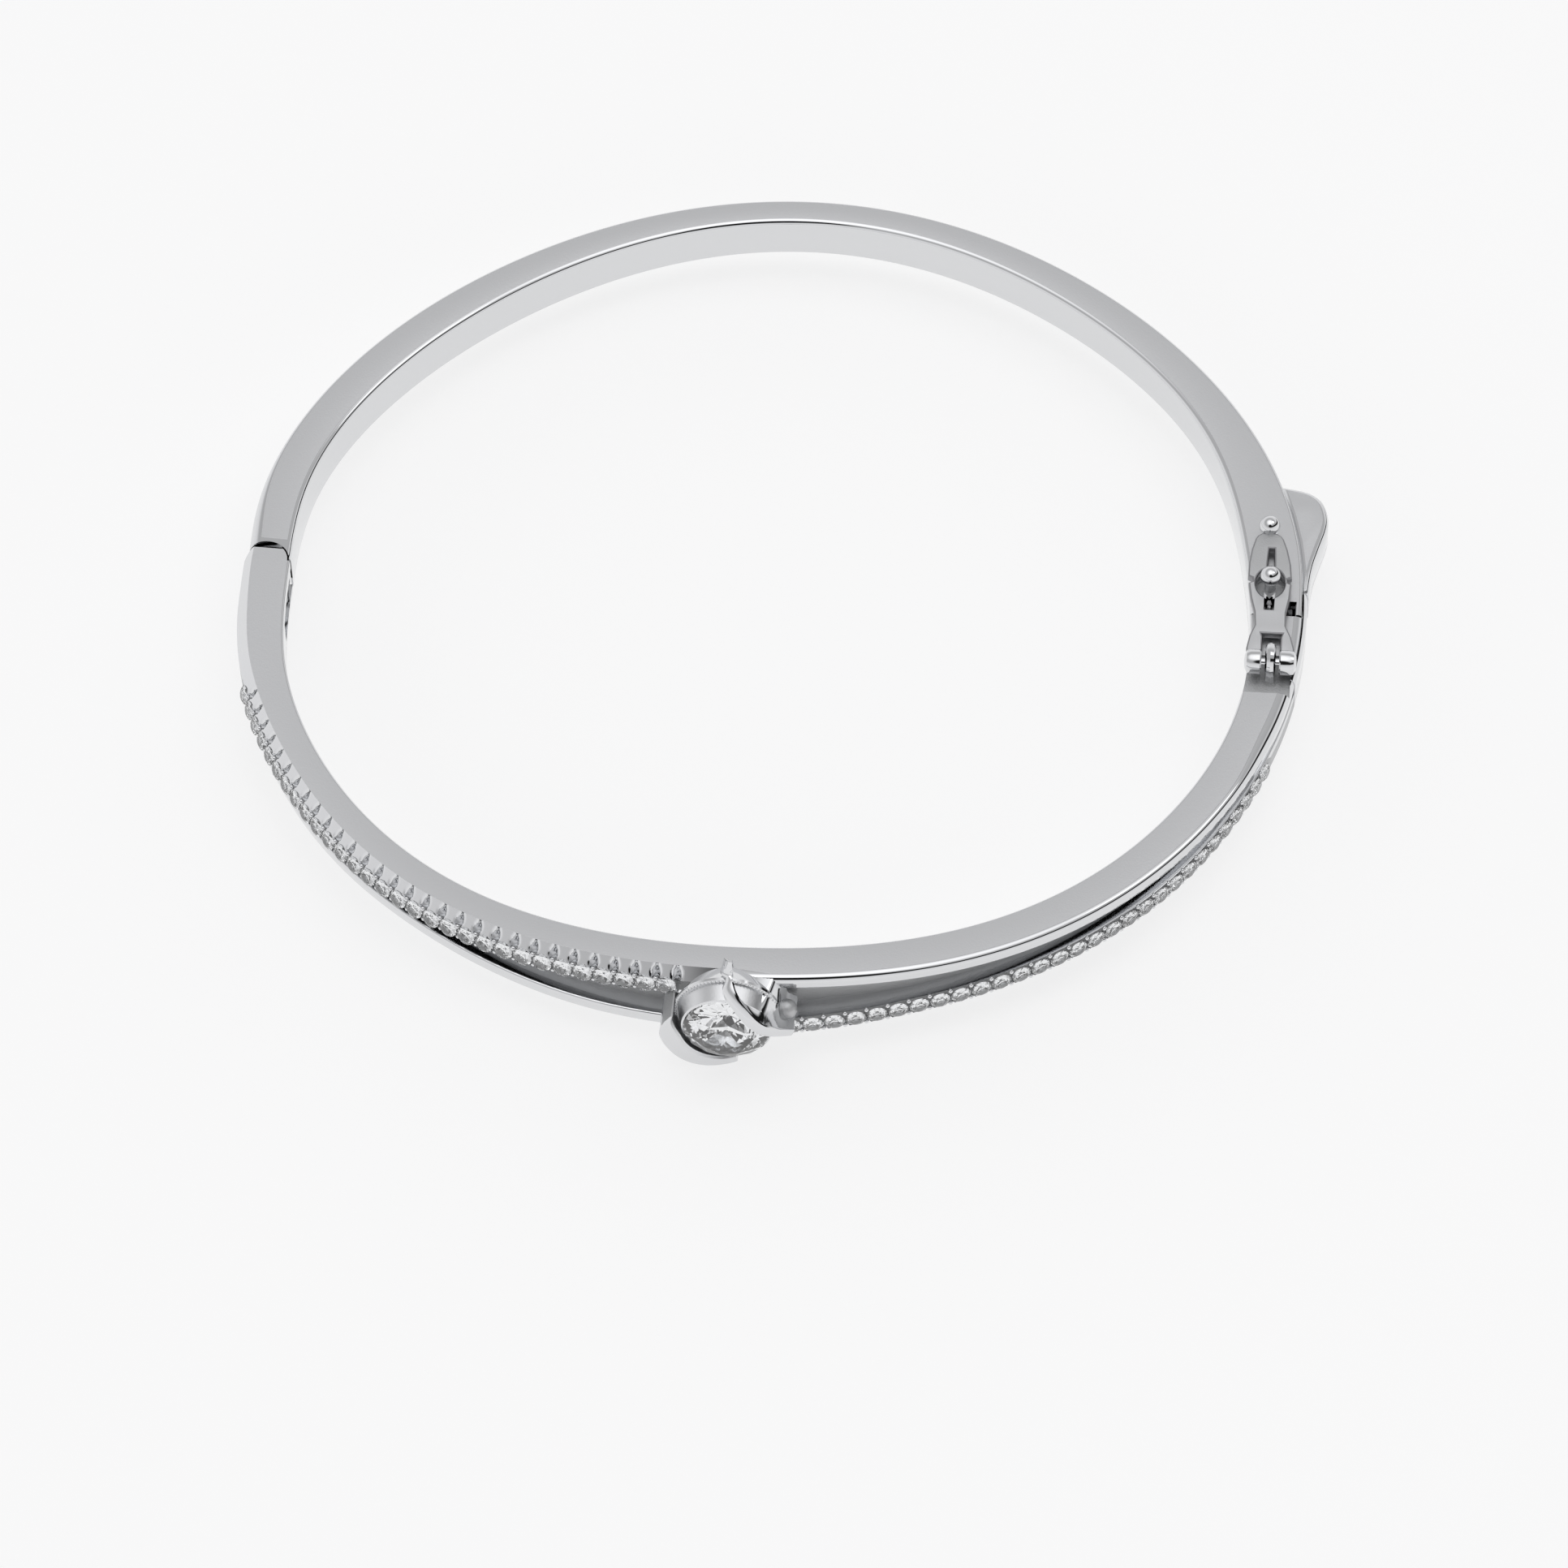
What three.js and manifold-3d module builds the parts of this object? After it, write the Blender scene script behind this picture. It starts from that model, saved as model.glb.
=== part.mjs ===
// Hinged bangle bracelet: a plain back half and a stone-set front half that turn on a
// vertical hinge pin, a snap tongue in a box, and a safety catch over a ball stud.
// Millimetres. The bangle lies flat: +Z is the wrist axis, -Y faces the centre stone,
// -X is the hinge and +X is the clasp.
import * as THREE from 'three';
import { mergeVertices } from 'three/addons/utils/BufferGeometryUtils.js';
import Module from 'manifold-3d';

const wasm = await Module();
wasm.setup();

// Plan of the inner surface: an ellipse, deeper at the back and squarer at the front.
const INNER_HALF_WIDTH = 29.0;
const INNER_DEPTH = 28.07;
const BACK_EXTRA_DEPTH = 0.8;
const CORNER_SWELL = { all: -0.007, front: 0.0235 };

// The inner surface steps in where the clasp box and the hinge need more metal.
const CLASP_STEP = { depth: 1.14, angle: 8, spread: 20 };
const HINGE_STEP = { depth: 0.6, angle: 181, spread: 13 };

// Band sections. RHO is the distance outwards from the inner surface.
const BAND_HALF_HEIGHT = 1.42;
const CENTRE_HALF_HEIGHT = 2.2;
const CENTRE_SWELL_POWER = 9;
const BACK_THICKNESS = 1.85;
const BACK_END_EXTRA = 0.15;
const BACK_CORNER_EXTRA = 0.2;
const FRONT_BASE_RHO = 1.55;
const FRONT_END_RHO = 2.5;
const INNER_CHAMFER = 0.3;
const OUTER_CHAMFER = 0.2;

// Rails and stone rows of the front half.
const RAIL_RHO = 1.6;
const PAVE_GROOVE_HALF = 0.63;
const PAVE_GROOVE_DEPTH = 0.5;
const UPPER_ROW = { width: 1.75, centre: 1.05, lipRho: 2.4 };
const LOWER_ROW = { width: 1.55, centre: 0.78, lipRho: 2.55 };
const POLISHED_RAIL_WIDTH = 1.05;
const POLISHED_RAIL_RHO = 2.6;
const RAIL_START = 184.6;
const RAIL_END = 345;
const SETTING_GAP_ANGLE = 8;
const STONE_PITCH = 1.22;
const PAVE_FIRST_ANGLE = 200.5;
const PAVE_STONE_RADIUS = 0.64;
const PAVE_GIRDLE_PROUD = 0.08;

// Centre setting, on the axis that points to -Y.
const STONE_RADIUS = 2.4;
const GIRDLE_RHO = 4.0;
const CROWN_HEIGHT = 0.78;
const PAVILION_DEPTH = 2.0;
const TABLE_RADIUS = 1.35;
const COLLET_RADIUS = 2.65;
const CRESCENT_INNER = 2.98;
const CRESCENT_OUTER = 3.85;

// Hinge: a knuckle on the back half inside a fork on the front half.
const HINGE = { x: -29.9, y: 0.1 };
const FORK_RADIUS = 1.2;
const SEAT_RADIUS = 1.45;
const KNUCKLE_HALF_HEIGHT = 0.55;
const FORK_SLOT_HALF_HEIGHT = 0.75;
const HINGE_PIN_RADIUS = 0.4;
const HINGE_BORE_RADIUS = 0.5;
const HINGE_PIN_HALF_LENGTH = 1.1;

// Clasp.
const SEAM_Y = -0.5;
const SEAM_GAP = 0.3;
const BOX = { x0: 28.75, x1: 30.7, y1: 5.3, halfHeight: 0.8 };
const TONGUE = { x0: 29.0, x1: 29.35, y0: -2.3, y1: 4.6, halfHeight: 0.6 };
const LEAF = { thickness: 0.28, length: 3.9, lean: 10 };
const STRIKE = { x0: 30.4, depth: 0.9 };
const LIP = { rho0: 2.15, rho1: 2.5, endAngle: 362.2, halfHeight: 1.2 };

// Safety catch.
const CATCH_X = 29.4;
const CATCH_PIN = { y: -4.58, z: 2.0, radius: 0.25, bore: 0.34 };
const CATCH_KNUCKLE_RADIUS = 0.72;
const CATCH_HALF_WIDTH = 1.5;
const LUG_HALF_WIDTH = 0.35;
const LUG_SLOT_HALF_WIDTH = 0.6;
const PLATE = { z0: 1.62, z1: 2.06 };
const STUD = { x: 29.15, y: 1.6, z: 2.4, ball: 0.6, post: 0.3 };
const TIP = { x: 29.11, y: 5.95, z: 2.15, radius: 0.62 };
const PLATE_END_Y = 5.5;
const CATCH_RECESS = { y0: -6.4, y1: -3.5, floor: 0.95 };

const DEGREE = Math.PI / 180;

const METAL = { color: 0xb9babd, metalness: 1, roughness: 0.3 };
const POLISHED = { color: 0xd4d5d8, metalness: 1, roughness: 0.08 };
const CRYSTAL = { color: 0xf2f6f8, metalness: 0, roughness: 0.02 };

// ---- Plan curve ----

function bump(angle, step) {
  const away = (((angle - step.angle) % 360) + 540) % 360 - 180;
  return step.depth * Math.exp(-((away / step.spread) ** 2));
}

function ovalPoint(angle) {
  const s = Math.sin(angle * DEGREE);
  const c = Math.cos(angle * DEGREE);
  const corner = Math.sin(2 * angle * DEGREE) ** 2;
  const swell = 1 + (CORNER_SWELL.all - CORNER_SWELL.front * s) * corner;
  const depth = INNER_DEPTH + BACK_EXTRA_DEPTH * s;
  return new THREE.Vector2(INNER_HALF_WIDTH * c * swell, depth * s * swell);
}

function ovalNormal(angle) {
  const tangent = ovalPoint(angle + 0.05).sub(ovalPoint(angle - 0.05)).normalize();
  return new THREE.Vector2(tangent.y, -tangent.x);
}

function onBand(angle, rho, z) {
  const point = ovalPoint(angle).addScaledVector(ovalNormal(angle), rho);
  return new THREE.Vector3(point.x, point.y, z);
}

function innerRho(angle) {
  return -bump(angle, CLASP_STEP) - bump(angle, HINGE_STEP);
}

function frontHalfHeight(angle) {
  const front = Math.max(0, -Math.sin(angle * DEGREE));
  return BAND_HALF_HEIGHT + (CENTRE_HALF_HEIGHT - BAND_HALF_HEIGHT) * front ** CENTRE_SWELL_POWER;
}

// ---- Solids ----

function toSolid(geometry) {
  const bare = geometry.clone();
  bare.deleteAttribute('normal');
  bare.deleteAttribute('uv');
  const merged = mergeVertices(bare, 1e-4);
  return new wasm.Manifold(new wasm.Mesh({
    numProp: 3,
    vertProperties: new Float32Array(merged.attributes.position.array),
    triVerts: new Uint32Array(merged.index.array),
  }));
}

function toGeometry(solid) {
  const mesh = solid.getMesh();
  const geometry = new THREE.BufferGeometry();
  geometry.setAttribute('position', new THREE.BufferAttribute(mesh.vertProperties, 3));
  geometry.setIndex(new THREE.BufferAttribute(mesh.triVerts, 1));
  geometry.computeVertexNormals();
  return geometry;
}

// Skins a row of rings that all have as many points, and closes both ends.
// capOutline is the flat outline of a ring, used to triangulate the ends.
function loft(rings, capOutline) {
  const count = rings[0].length;
  const last = (rings.length - 1) * count;
  const triangles = [];
  for (let start = 0; start < last; start += count) {
    for (let j = 0; j < count; j += 1) {
      const a = start + j;
      const b = start + ((j + 1) % count);
      triangles.push(a, a + count, b + count, a, b + count, b);
    }
  }
  for (const [a, b, c] of THREE.ShapeUtils.triangulateShape(capOutline, [])) {
    triangles.push(a, b, c, last + c, last + b, last + a);
  }
  const positions = rings.flat().flatMap((point) => point.toArray());
  const geometry = new THREE.BufferGeometry();
  geometry.setAttribute('position', new THREE.Float32BufferAttribute(positions, 3));
  geometry.setIndex(triangles);
  return geometry;
}

// A closed section carried along the band; section(angle) lists [rho, z] anticlockwise.
function sweep(section, startAngle, endAngle, steps) {
  const rings = [];
  for (let i = 0; i <= steps; i += 1) {
    const angle = startAngle + ((endAngle - startAngle) * i) / steps;
    rings.push(section(angle).map(([rho, z]) => onBand(angle, rho, z)));
  }
  const outline = section(startAngle).map(([rho, z]) => new THREE.Vector2(rho, z));
  return loft(rings, outline);
}

function block(x0, x1, y0, y1, z0, z1) {
  const geometry = new THREE.BoxGeometry(x1 - x0, y1 - y0, z1 - z0);
  return geometry.translate((x0 + x1) / 2, (y0 + y1) / 2, (z0 + z1) / 2);
}

function postZ(x, y, radius, z0, z1, sides = 24) {
  const geometry = new THREE.CylinderGeometry(radius, radius, z1 - z0, sides);
  return geometry.rotateX(Math.PI / 2).translate(x, y, (z0 + z1) / 2);
}

function postX(y, z, radius, x0, x1, sides = 20) {
  const geometry = new THREE.CylinderGeometry(radius, radius, x1 - x0, sides);
  return geometry.rotateZ(Math.PI / 2).translate((x0 + x1) / 2, y, z);
}

function join(...geometries) {
  return geometries.map(toSolid).reduce((whole, solid) => whole.add(solid));
}

function cut(solid, ...geometries) {
  return geometries.map(toSolid).reduce((whole, tool) => whole.subtract(tool), solid);
}

function extrudeUp(shape, z0, z1) {
  const geometry = new THREE.ExtrudeGeometry(shape, {
    depth: z1 - z0,
    bevelEnabled: false,
    curveSegments: 10,
  });
  return geometry.translate(0, 0, z0);
}

// Turns a solid of revolution about Y so that it stands on the setting's axis.
function ontoSetting(geometry) {
  const backPlane = ovalPoint(270).y;
  return geometry.rotateZ(Math.PI).translate(0, backPlane, 0);
}

// ---- Back half ----

function backOuterRho(angle) {
  const ends = Math.cos(angle * DEGREE) ** 2;
  const corner = Math.sin(2 * angle * DEGREE) ** 2;
  return BACK_THICKNESS + BACK_END_EXTRA * ends + BACK_CORNER_EXTRA * corner;
}

function backSection(angle) {
  const h = BAND_HALF_HEIGHT;
  const inner = innerRho(angle);
  const outer = backOuterRho(angle);
  return [
    [inner, -h + INNER_CHAMFER],
    [inner + INNER_CHAMFER, -h],
    [outer - OUTER_CHAMFER, -h],
    [outer, -h + OUTER_CHAMFER],
    [outer, h - OUTER_CHAMFER],
    [outer - OUTER_CHAMFER, h],
    [inner + INNER_CHAMFER, h],
    [inner, h - INNER_CHAMFER],
  ];
}

function makeBackHalf() {
  const reach = 4;
  const above = BAND_HALF_HEIGHT + 1;
  const seam = SEAM_Y + SEAM_GAP / 2;
  const band = toSolid(sweep(backSection, -3, 183, 62));
  const hingeSide = block(HINGE.x - reach, HINGE.x + reach, HINGE.y - reach, HINGE.y + 0.35, -above, above);
  const seat = postZ(HINGE.x, HINGE.y, SEAT_RADIUS, -above, above, 32);
  const knuckleSlot = block(HINGE.x - 0.85, HINGE.x + 0.85, HINGE.y, HINGE.y + 3.3, -0.7, 0.7);
  const claspSide = block(BOX.x0 - reach, BOX.x1 + reach, seam - reach, seam, -above, above);
  const box = block(BOX.x0, BOX.x1, seam - 1, BOX.y1, -BOX.halfHeight, BOX.halfHeight);
  const window = block(30.2, 30.75, seam - 1, seam + 1.2, 0, above);
  return cut(band, hingeSide, seat, knuckleSlot, claspSide, box, window);
}

function makeHingeKnuckle() {
  const h = KNUCKLE_HALF_HEIGHT;
  const barrel = postZ(HINGE.x, HINGE.y, FORK_RADIUS, -h, h);
  const tail = block(HINGE.x - 0.7, HINGE.x + 0.7, HINGE.y, HINGE.y + 3.1, -h, h);
  return cut(join(barrel, tail), postZ(HINGE.x, HINGE.y, HINGE_BORE_RADIUS, -2, 2));
}

function makeClaspStrike() {
  const y0 = SEAM_Y + SEAM_GAP / 2;
  const h = BOX.halfHeight - 0.05;
  return toSolid(block(STRIKE.x0, BOX.x1 - 0.05, y0, y0 + STRIKE.depth, -h, -0.05));
}

function makeCatchStud() {
  const foot = BAND_HALF_HEIGHT + 0.02;
  const ball = new THREE.SphereGeometry(STUD.ball, 20, 12).translate(STUD.x, STUD.y, STUD.z);
  return join(postZ(STUD.x, STUD.y, STUD.post, foot, STUD.z, 16), ball);
}

// ---- Front half ----

// The thin base carries the rails; both ends of the half are thick.
function frontSection(outer) {
  return (angle) => {
    const h = frontHalfHeight(angle);
    const inner = innerRho(angle);
    return [
      [inner, -h + INNER_CHAMFER],
      [inner + INNER_CHAMFER, -h],
      [outer - 0.1, -h],
      [outer, -h + 0.1],
      [outer, h - 0.1],
      [outer - 0.1, h],
      [inner + INNER_CHAMFER, h],
      [inner, h - INNER_CHAMFER],
    ];
  };
}

function makeFrontBand() {
  const gap = 0.3;
  return join(
    sweep(frontSection(FRONT_BASE_RHO), 178, 362, 76),
    sweep(frontSection(FRONT_END_RHO), 178, RAIL_START - gap, 4),
    sweep(frontSection(FRONT_END_RHO), RAIL_END + gap, 362, 10),
  );
}

// A lip of the front half's outer skin runs on past the seam, outside the back half.
function lipSection() {
  const { rho0, rho1, halfHeight } = LIP;
  return [[rho0, -halfHeight], [rho1, -halfHeight], [rho1, halfHeight], [rho0, halfHeight]];
}

function makeFrontHalf() {
  const reach = 4;
  const above = BAND_HALF_HEIGHT + 1;
  const h = BAND_HALF_HEIGHT;
  const seam = SEAM_Y - SEAM_GAP / 2;
  const slot = FORK_SLOT_HALF_HEIGHT;
  const recess = CATCH_RECESS;
  const trimmed = cut(
    makeFrontBand(),
    block(HINGE.x - reach, HINGE.x + reach, HINGE.y, HINGE.y + reach, -above, above),
    block(BOX.x0 - reach, BOX.x1 + reach, seam, seam + reach, -above, above),
  );
  const forked = trimmed.add(toSolid(postZ(HINGE.x, HINGE.y, FORK_RADIUS, -h, h, 32)));
  const lip = toSolid(sweep(lipSection, 355, LIP.endAngle, 5));
  return cut(
    forked.add(lip),
    postZ(HINGE.x, HINGE.y, SEAT_RADIUS, -slot, slot, 32),
    block(HINGE.x + 0.5, HINGE.x + 3, HINGE.y - 4.2, HINGE.y, -slot, slot),
    postZ(HINGE.x, HINGE.y, HINGE_BORE_RADIUS, -HINGE_PIN_HALF_LENGTH - 0.1, HINGE_PIN_HALF_LENGTH + 0.1),
    block(TONGUE.x0 - 0.15, TONGUE.x1 + 0.15, TONGUE.y0 - 0.15, seam + 1, -slot, slot),
    block(CATCH_X - reach, CATCH_X + reach, recess.y0, recess.y1, recess.floor, above),
  );
}

function makeHingePin() {
  const half = HINGE_PIN_HALF_LENGTH;
  return toSolid(postZ(HINGE.x, HINGE.y, HINGE_PIN_RADIUS, -half, half));
}

// A rail's section is drawn from its side face towards the middle of the band:
// depth is the distance in from the side face, and side is +1 above and -1 below.
function railSection(side, outline) {
  return (angle) => {
    const face = frontHalfHeight(angle) - 0.02;
    const section = outline.map(([rho, depth]) => [rho, side * (face - depth)]);
    return side > 0 ? section : section.reverse();
  };
}

// The stones of a row sit in a V groove; the flank slopes down from the side face to it.
function paveRailOutline({ width, centre, lipRho }) {
  return [
    [RAIL_RHO, width],
    [lipRho - 0.15, width],
    [lipRho, centre + PAVE_GROOVE_HALF],
    [lipRho - PAVE_GROOVE_DEPTH, centre],
    [lipRho, centre - PAVE_GROOVE_HALF],
    [lipRho - 0.06, centre - PAVE_GROOVE_HALF - 0.08],
    [RAIL_RHO + 0.15, 0],
    [RAIL_RHO, 0],
  ];
}

const POLISHED_RAIL_OUTLINE = [
  [RAIL_RHO, POLISHED_RAIL_WIDTH],
  [POLISHED_RAIL_RHO - 0.25, POLISHED_RAIL_WIDTH],
  [POLISHED_RAIL_RHO, POLISHED_RAIL_WIDTH - 0.3],
  [POLISHED_RAIL_RHO, 0.35],
  [POLISHED_RAIL_RHO - 0.2, 0.15],
  [RAIL_RHO + 0.1, 0],
  [RAIL_RHO, 0],
];

function makeLeftRail(side, outline) {
  return toSolid(sweep(railSection(side, outline), RAIL_START, 270 - SETTING_GAP_ANGLE, 40));
}

function makeRightRail(side, outline) {
  return toSolid(sweep(railSection(side, outline), 270 + SETTING_GAP_ANGLE, RAIL_END, 36));
}

// One small brilliant, point inwards, with its girdle at rho and its table facing out.
function paveStone(angle, rho, z) {
  const r = PAVE_STONE_RADIUS;
  const profile = [
    new THREE.Vector2(0, -0.72 * r),
    new THREE.Vector2(r, 0),
    new THREE.Vector2(0.58 * r, 0.28 * r),
    new THREE.Vector2(0, 0.28 * r),
  ];
  const normal = ovalNormal(angle);
  const outwards = new THREE.Vector3(normal.x, normal.y, 0);
  const up = new THREE.Vector3(0, 0, 1);
  const along = new THREE.Vector3().crossVectors(outwards, up);
  const place = new THREE.Matrix4().makeBasis(up, outwards, along.negate());
  place.setPosition(onBand(angle, rho, z));
  return new THREE.LatheGeometry(profile, 8).applyMatrix4(place);
}

// Stones of one row sit a pitch apart, measured along the girdle line.
function makePaveRow(row, side, startAngle, endAngle) {
  const stones = [];
  const rho = row.lipRho + PAVE_GIRDLE_PROUD;
  const direction = Math.sign(endAngle - startAngle);
  let angle = startAngle;
  while (direction * (endAngle - angle) > 0) {
    const z = side * (frontHalfHeight(angle) - 0.02 - row.centre);
    stones.push(paveStone(angle, rho, z));
    const here = onBand(angle, rho, 0);
    const next = onBand(angle + 1, rho, 0);
    angle += (direction * STONE_PITCH) / here.distanceTo(next);
  }
  return join(...stones);
}

// ---- Centre setting ----

function makeCentreStone() {
  const profile = [
    new THREE.Vector2(0, GIRDLE_RHO - PAVILION_DEPTH),
    new THREE.Vector2(STONE_RADIUS, GIRDLE_RHO - 0.06),
    new THREE.Vector2(STONE_RADIUS, GIRDLE_RHO + 0.06),
    new THREE.Vector2(TABLE_RADIUS, GIRDLE_RHO + CROWN_HEIGHT),
    new THREE.Vector2(0, GIRDLE_RHO + CROWN_HEIGHT),
  ];
  return toSolid(ontoSetting(new THREE.LatheGeometry(profile, 16)));
}

function makeCollet() {
  const foot = 1.75;
  const rim = GIRDLE_RHO - 0.15;
  const profile = [
    new THREE.Vector2(0.45, foot),
    new THREE.Vector2(COLLET_RADIUS, foot),
    new THREE.Vector2(COLLET_RADIUS, rim),
    new THREE.Vector2(COLLET_RADIUS - 0.2, rim),
    new THREE.Vector2(0.45, foot + 0.25),
    new THREE.Vector2(0.45, foot),
  ];
  return toSolid(ontoSetting(new THREE.LatheGeometry(profile, 32)));
}

// A crescent wall that wraps one side of the collet. Its outer side draws in to a thin
// tip, and its rim rises by arch in the middle and falls by drop towards the tip.
function makeCrescent(startAngle, endAngle, arch, drop) {
  const steps = 24;
  const foot = 1.75;
  const backPlane = ovalPoint(270).y;
  const rings = [];
  for (let i = 0; i <= steps; i += 1) {
    const along = i / steps;
    const angle = THREE.MathUtils.lerp(startAngle, endAngle, along) * DEGREE;
    const wall = (CRESCENT_OUTER - CRESCENT_INNER) * Math.sqrt(1 - 0.97 * along ** 3);
    const rim = GIRDLE_RHO + arch * Math.sin(Math.PI * along) - drop * along ** 3;
    const spot = (radius, rho) => new THREE.Vector3(
      radius * Math.cos(angle),
      backPlane - rho,
      radius * Math.sin(angle),
    );
    const inner = CRESCENT_INNER;
    rings.push([spot(inner, foot), spot(inner + wall, foot), spot(inner + wall, rim), spot(inner, rim)]);
  }
  const outline = [[0, 0], [1, 0], [1, 1], [0, 1]].map(([u, v]) => new THREE.Vector2(u, v));
  return toSolid(loft(rings, outline));
}

// ---- Clasp ----

function makeTongueBase() {
  const h = TONGUE.halfHeight;
  const plate = block(TONGUE.x0, TONGUE.x1, TONGUE.y0, TONGUE.y1, -h, h);
  const nose = postZ(TONGUE.x1 - 0.1, TONGUE.y1, 0.25, -h, h, 16);
  return join(plate, nose);
}

function leafPivot() {
  return new THREE.Vector2(TONGUE.x1 + 0.35, TONGUE.y1 - 0.1);
}

function makeTongueLeaf() {
  const h = TONGUE.halfHeight - 0.05;
  const pivot = leafPivot();
  const geometry = block(-LEAF.thickness / 2, LEAF.thickness / 2, -LEAF.length, 0.1, -h, h);
  return toSolid(geometry.rotateZ(LEAF.lean * DEGREE).translate(pivot.x, pivot.y, 0));
}

// The thumb tab stands on the outside of the back half and flares into a fin.
function makeThumbTab() {
  const clearance = 0.05;
  const inner = [2.6, 6, 10, 14, 18].map((angle) => {
    const point = onBand(angle, backOuterRho(angle) + clearance, 0);
    return new THREE.Vector2(point.x, point.y);
  });
  const flare = new THREE.SplineCurve([
    new THREE.Vector2(30.75, 9.55),
    new THREE.Vector2(31.6, 9.05),
    new THREE.Vector2(32.2, 8.15),
    new THREE.Vector2(32.35, 7.1),
    new THREE.Vector2(32.0, 5.1),
    new THREE.Vector2(31.65, 3.2),
    new THREE.Vector2(31.5, 1.32),
  ]);
  const shape = new THREE.Shape([...inner, ...flare.getPoints(20)]);
  return toSolid(extrudeUp(shape, -1.15, 1.15));
}

function makeCatchLug() {
  const x0 = CATCH_X - LUG_HALF_WIDTH;
  const x1 = CATCH_X + LUG_HALF_WIDTH;
  const foot = CATCH_RECESS.floor + 0.03;
  const r = CATCH_KNUCKLE_RADIUS;
  const barrel = postX(CATCH_PIN.y, CATCH_PIN.z, r, x0, x1);
  const web = block(x0, x1, CATCH_PIN.y - r, CATCH_PIN.y + r, foot, CATCH_PIN.z);
  return cut(join(barrel, web), postX(CATCH_PIN.y, CATCH_PIN.z, CATCH_PIN.bore, x0 - 1, x1 + 1));
}

function makeCatchPin() {
  const half = CATCH_HALF_WIDTH - 0.02;
  return toSolid(postX(CATCH_PIN.y, CATCH_PIN.z, CATCH_PIN.radius, CATCH_X - half, CATCH_X + half));
}

// ---- Safety catch ----

// Half of the plate's outline on the +X side, from the knuckles to the tip.
function plateOutline() {
  const half = [
    new THREE.Vector2(CATCH_HALF_WIDTH, CATCH_PIN.y),
    new THREE.Vector2(1.3, -3.4),
    new THREE.Vector2(0.9, -2.0),
    new THREE.Vector2(0.85, -1.4),
    new THREE.Vector2(1.15, 0.4),
    new THREE.Vector2(1.3, 1.6),
    new THREE.Vector2(1.2, 3.0),
    new THREE.Vector2(0.95, 4.2),
    new THREE.Vector2(0.6, 5.2),
    new THREE.Vector2(0.45, PLATE_END_Y),
  ];
  const lean = (y) => ((TIP.x - CATCH_X) * (y - CATCH_PIN.y)) / (TIP.y - CATCH_PIN.y);
  const right = half.map((p) => new THREE.Vector2(CATCH_X + lean(p.y) + p.x, p.y));
  const left = half.map((p) => new THREE.Vector2(CATCH_X + lean(p.y) - p.x, p.y)).reverse();
  return new THREE.Shape([...right, ...left]);
}

function makeCatchPlate() {
  const { y, z, bore } = CATCH_PIN;
  const r = CATCH_KNUCKLE_RADIUS;
  const x0 = CATCH_X - CATCH_HALF_WIDTH;
  const x1 = CATCH_X + CATCH_HALF_WIDTH;
  const gap = LUG_SLOT_HALF_WIDTH;
  const hole = new THREE.CylinderGeometry(0.78, 0.78, 2, 24).scale(1, 1, 1.4);
  hole.rotateX(Math.PI / 2).translate(STUD.x, STUD.y - 0.1, PLATE.z0);
  const plate = extrudeUp(plateOutline(), PLATE.z0, PLATE.z1);
  return cut(
    join(plate, postX(y, z, r, x0, x1)),
    hole,
    block(STUD.x - 0.19, STUD.x + 0.19, -0.6, 4.0, 0, 3),
    block(CATCH_X - gap, CATCH_X + gap, y - 2, -2.45, 0, 3),
    postX(y, z, bore, x0 - 1, x1 + 1),
  );
}

function makeCatchTip() {
  const seat = PLATE_END_Y + 0.05;
  const ball = new THREE.SphereGeometry(TIP.radius, 16, 12).translate(TIP.x, TIP.y, TIP.z);
  return cut(toSolid(ball), block(TIP.x - 1, TIP.x + 1, seat - 2, seat, 0, 4));
}

// ---- Assembly ----

function addPiece(group, name, solid, finish) {
  const mesh = new THREE.Mesh(toGeometry(solid), new THREE.MeshStandardMaterial(finish));
  mesh.name = name;
  group.add(mesh);
}

const backHalf = new THREE.Group();
addPiece(backHalf, 'back_half', makeBackHalf(), METAL);
addPiece(backHalf, 'hinge_knuckle', makeHingeKnuckle(), METAL);
addPiece(backHalf, 'clasp_strike', makeClaspStrike(), METAL);
addPiece(backHalf, 'catch_stud', makeCatchStud(), POLISHED);
addPiece(backHalf, 'thumb_tab', makeThumbTab(), METAL);

const frontHalf = new THREE.Group();
const rowEnd = 270 - SETTING_GAP_ANGLE - 0.6;
addPiece(frontHalf, 'front_half', makeFrontHalf(), METAL);
addPiece(frontHalf, 'hinge_pin', makeHingePin(), METAL);
addPiece(frontHalf, 'pave_rail_upper', makeLeftRail(1, paveRailOutline(UPPER_ROW)), POLISHED);
addPiece(frontHalf, 'polished_rail_lower', makeLeftRail(-1, POLISHED_RAIL_OUTLINE), POLISHED);
addPiece(frontHalf, 'polished_rail_upper', makeRightRail(1, POLISHED_RAIL_OUTLINE), POLISHED);
addPiece(frontHalf, 'pave_rail_lower', makeRightRail(-1, paveRailOutline(LOWER_ROW)), POLISHED);
const upperStones = makePaveRow(UPPER_ROW, 1, rowEnd, PAVE_FIRST_ANGLE);
const lowerStones = makePaveRow(LOWER_ROW, -1, 540 - rowEnd, 540 - PAVE_FIRST_ANGLE);
addPiece(frontHalf, 'pave_stones_upper', upperStones, CRYSTAL);
addPiece(frontHalf, 'pave_stones_lower', lowerStones, CRYSTAL);
addPiece(frontHalf, 'collet', makeCollet(), POLISHED);
addPiece(frontHalf, 'center_stone', makeCentreStone(), CRYSTAL);
addPiece(frontHalf, 'crescent_lower', makeCrescent(180, 282, 0.2, 0.2), POLISHED);
addPiece(frontHalf, 'crescent_upper', makeCrescent(0, 98, 0.7, 1.8), POLISHED);
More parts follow.
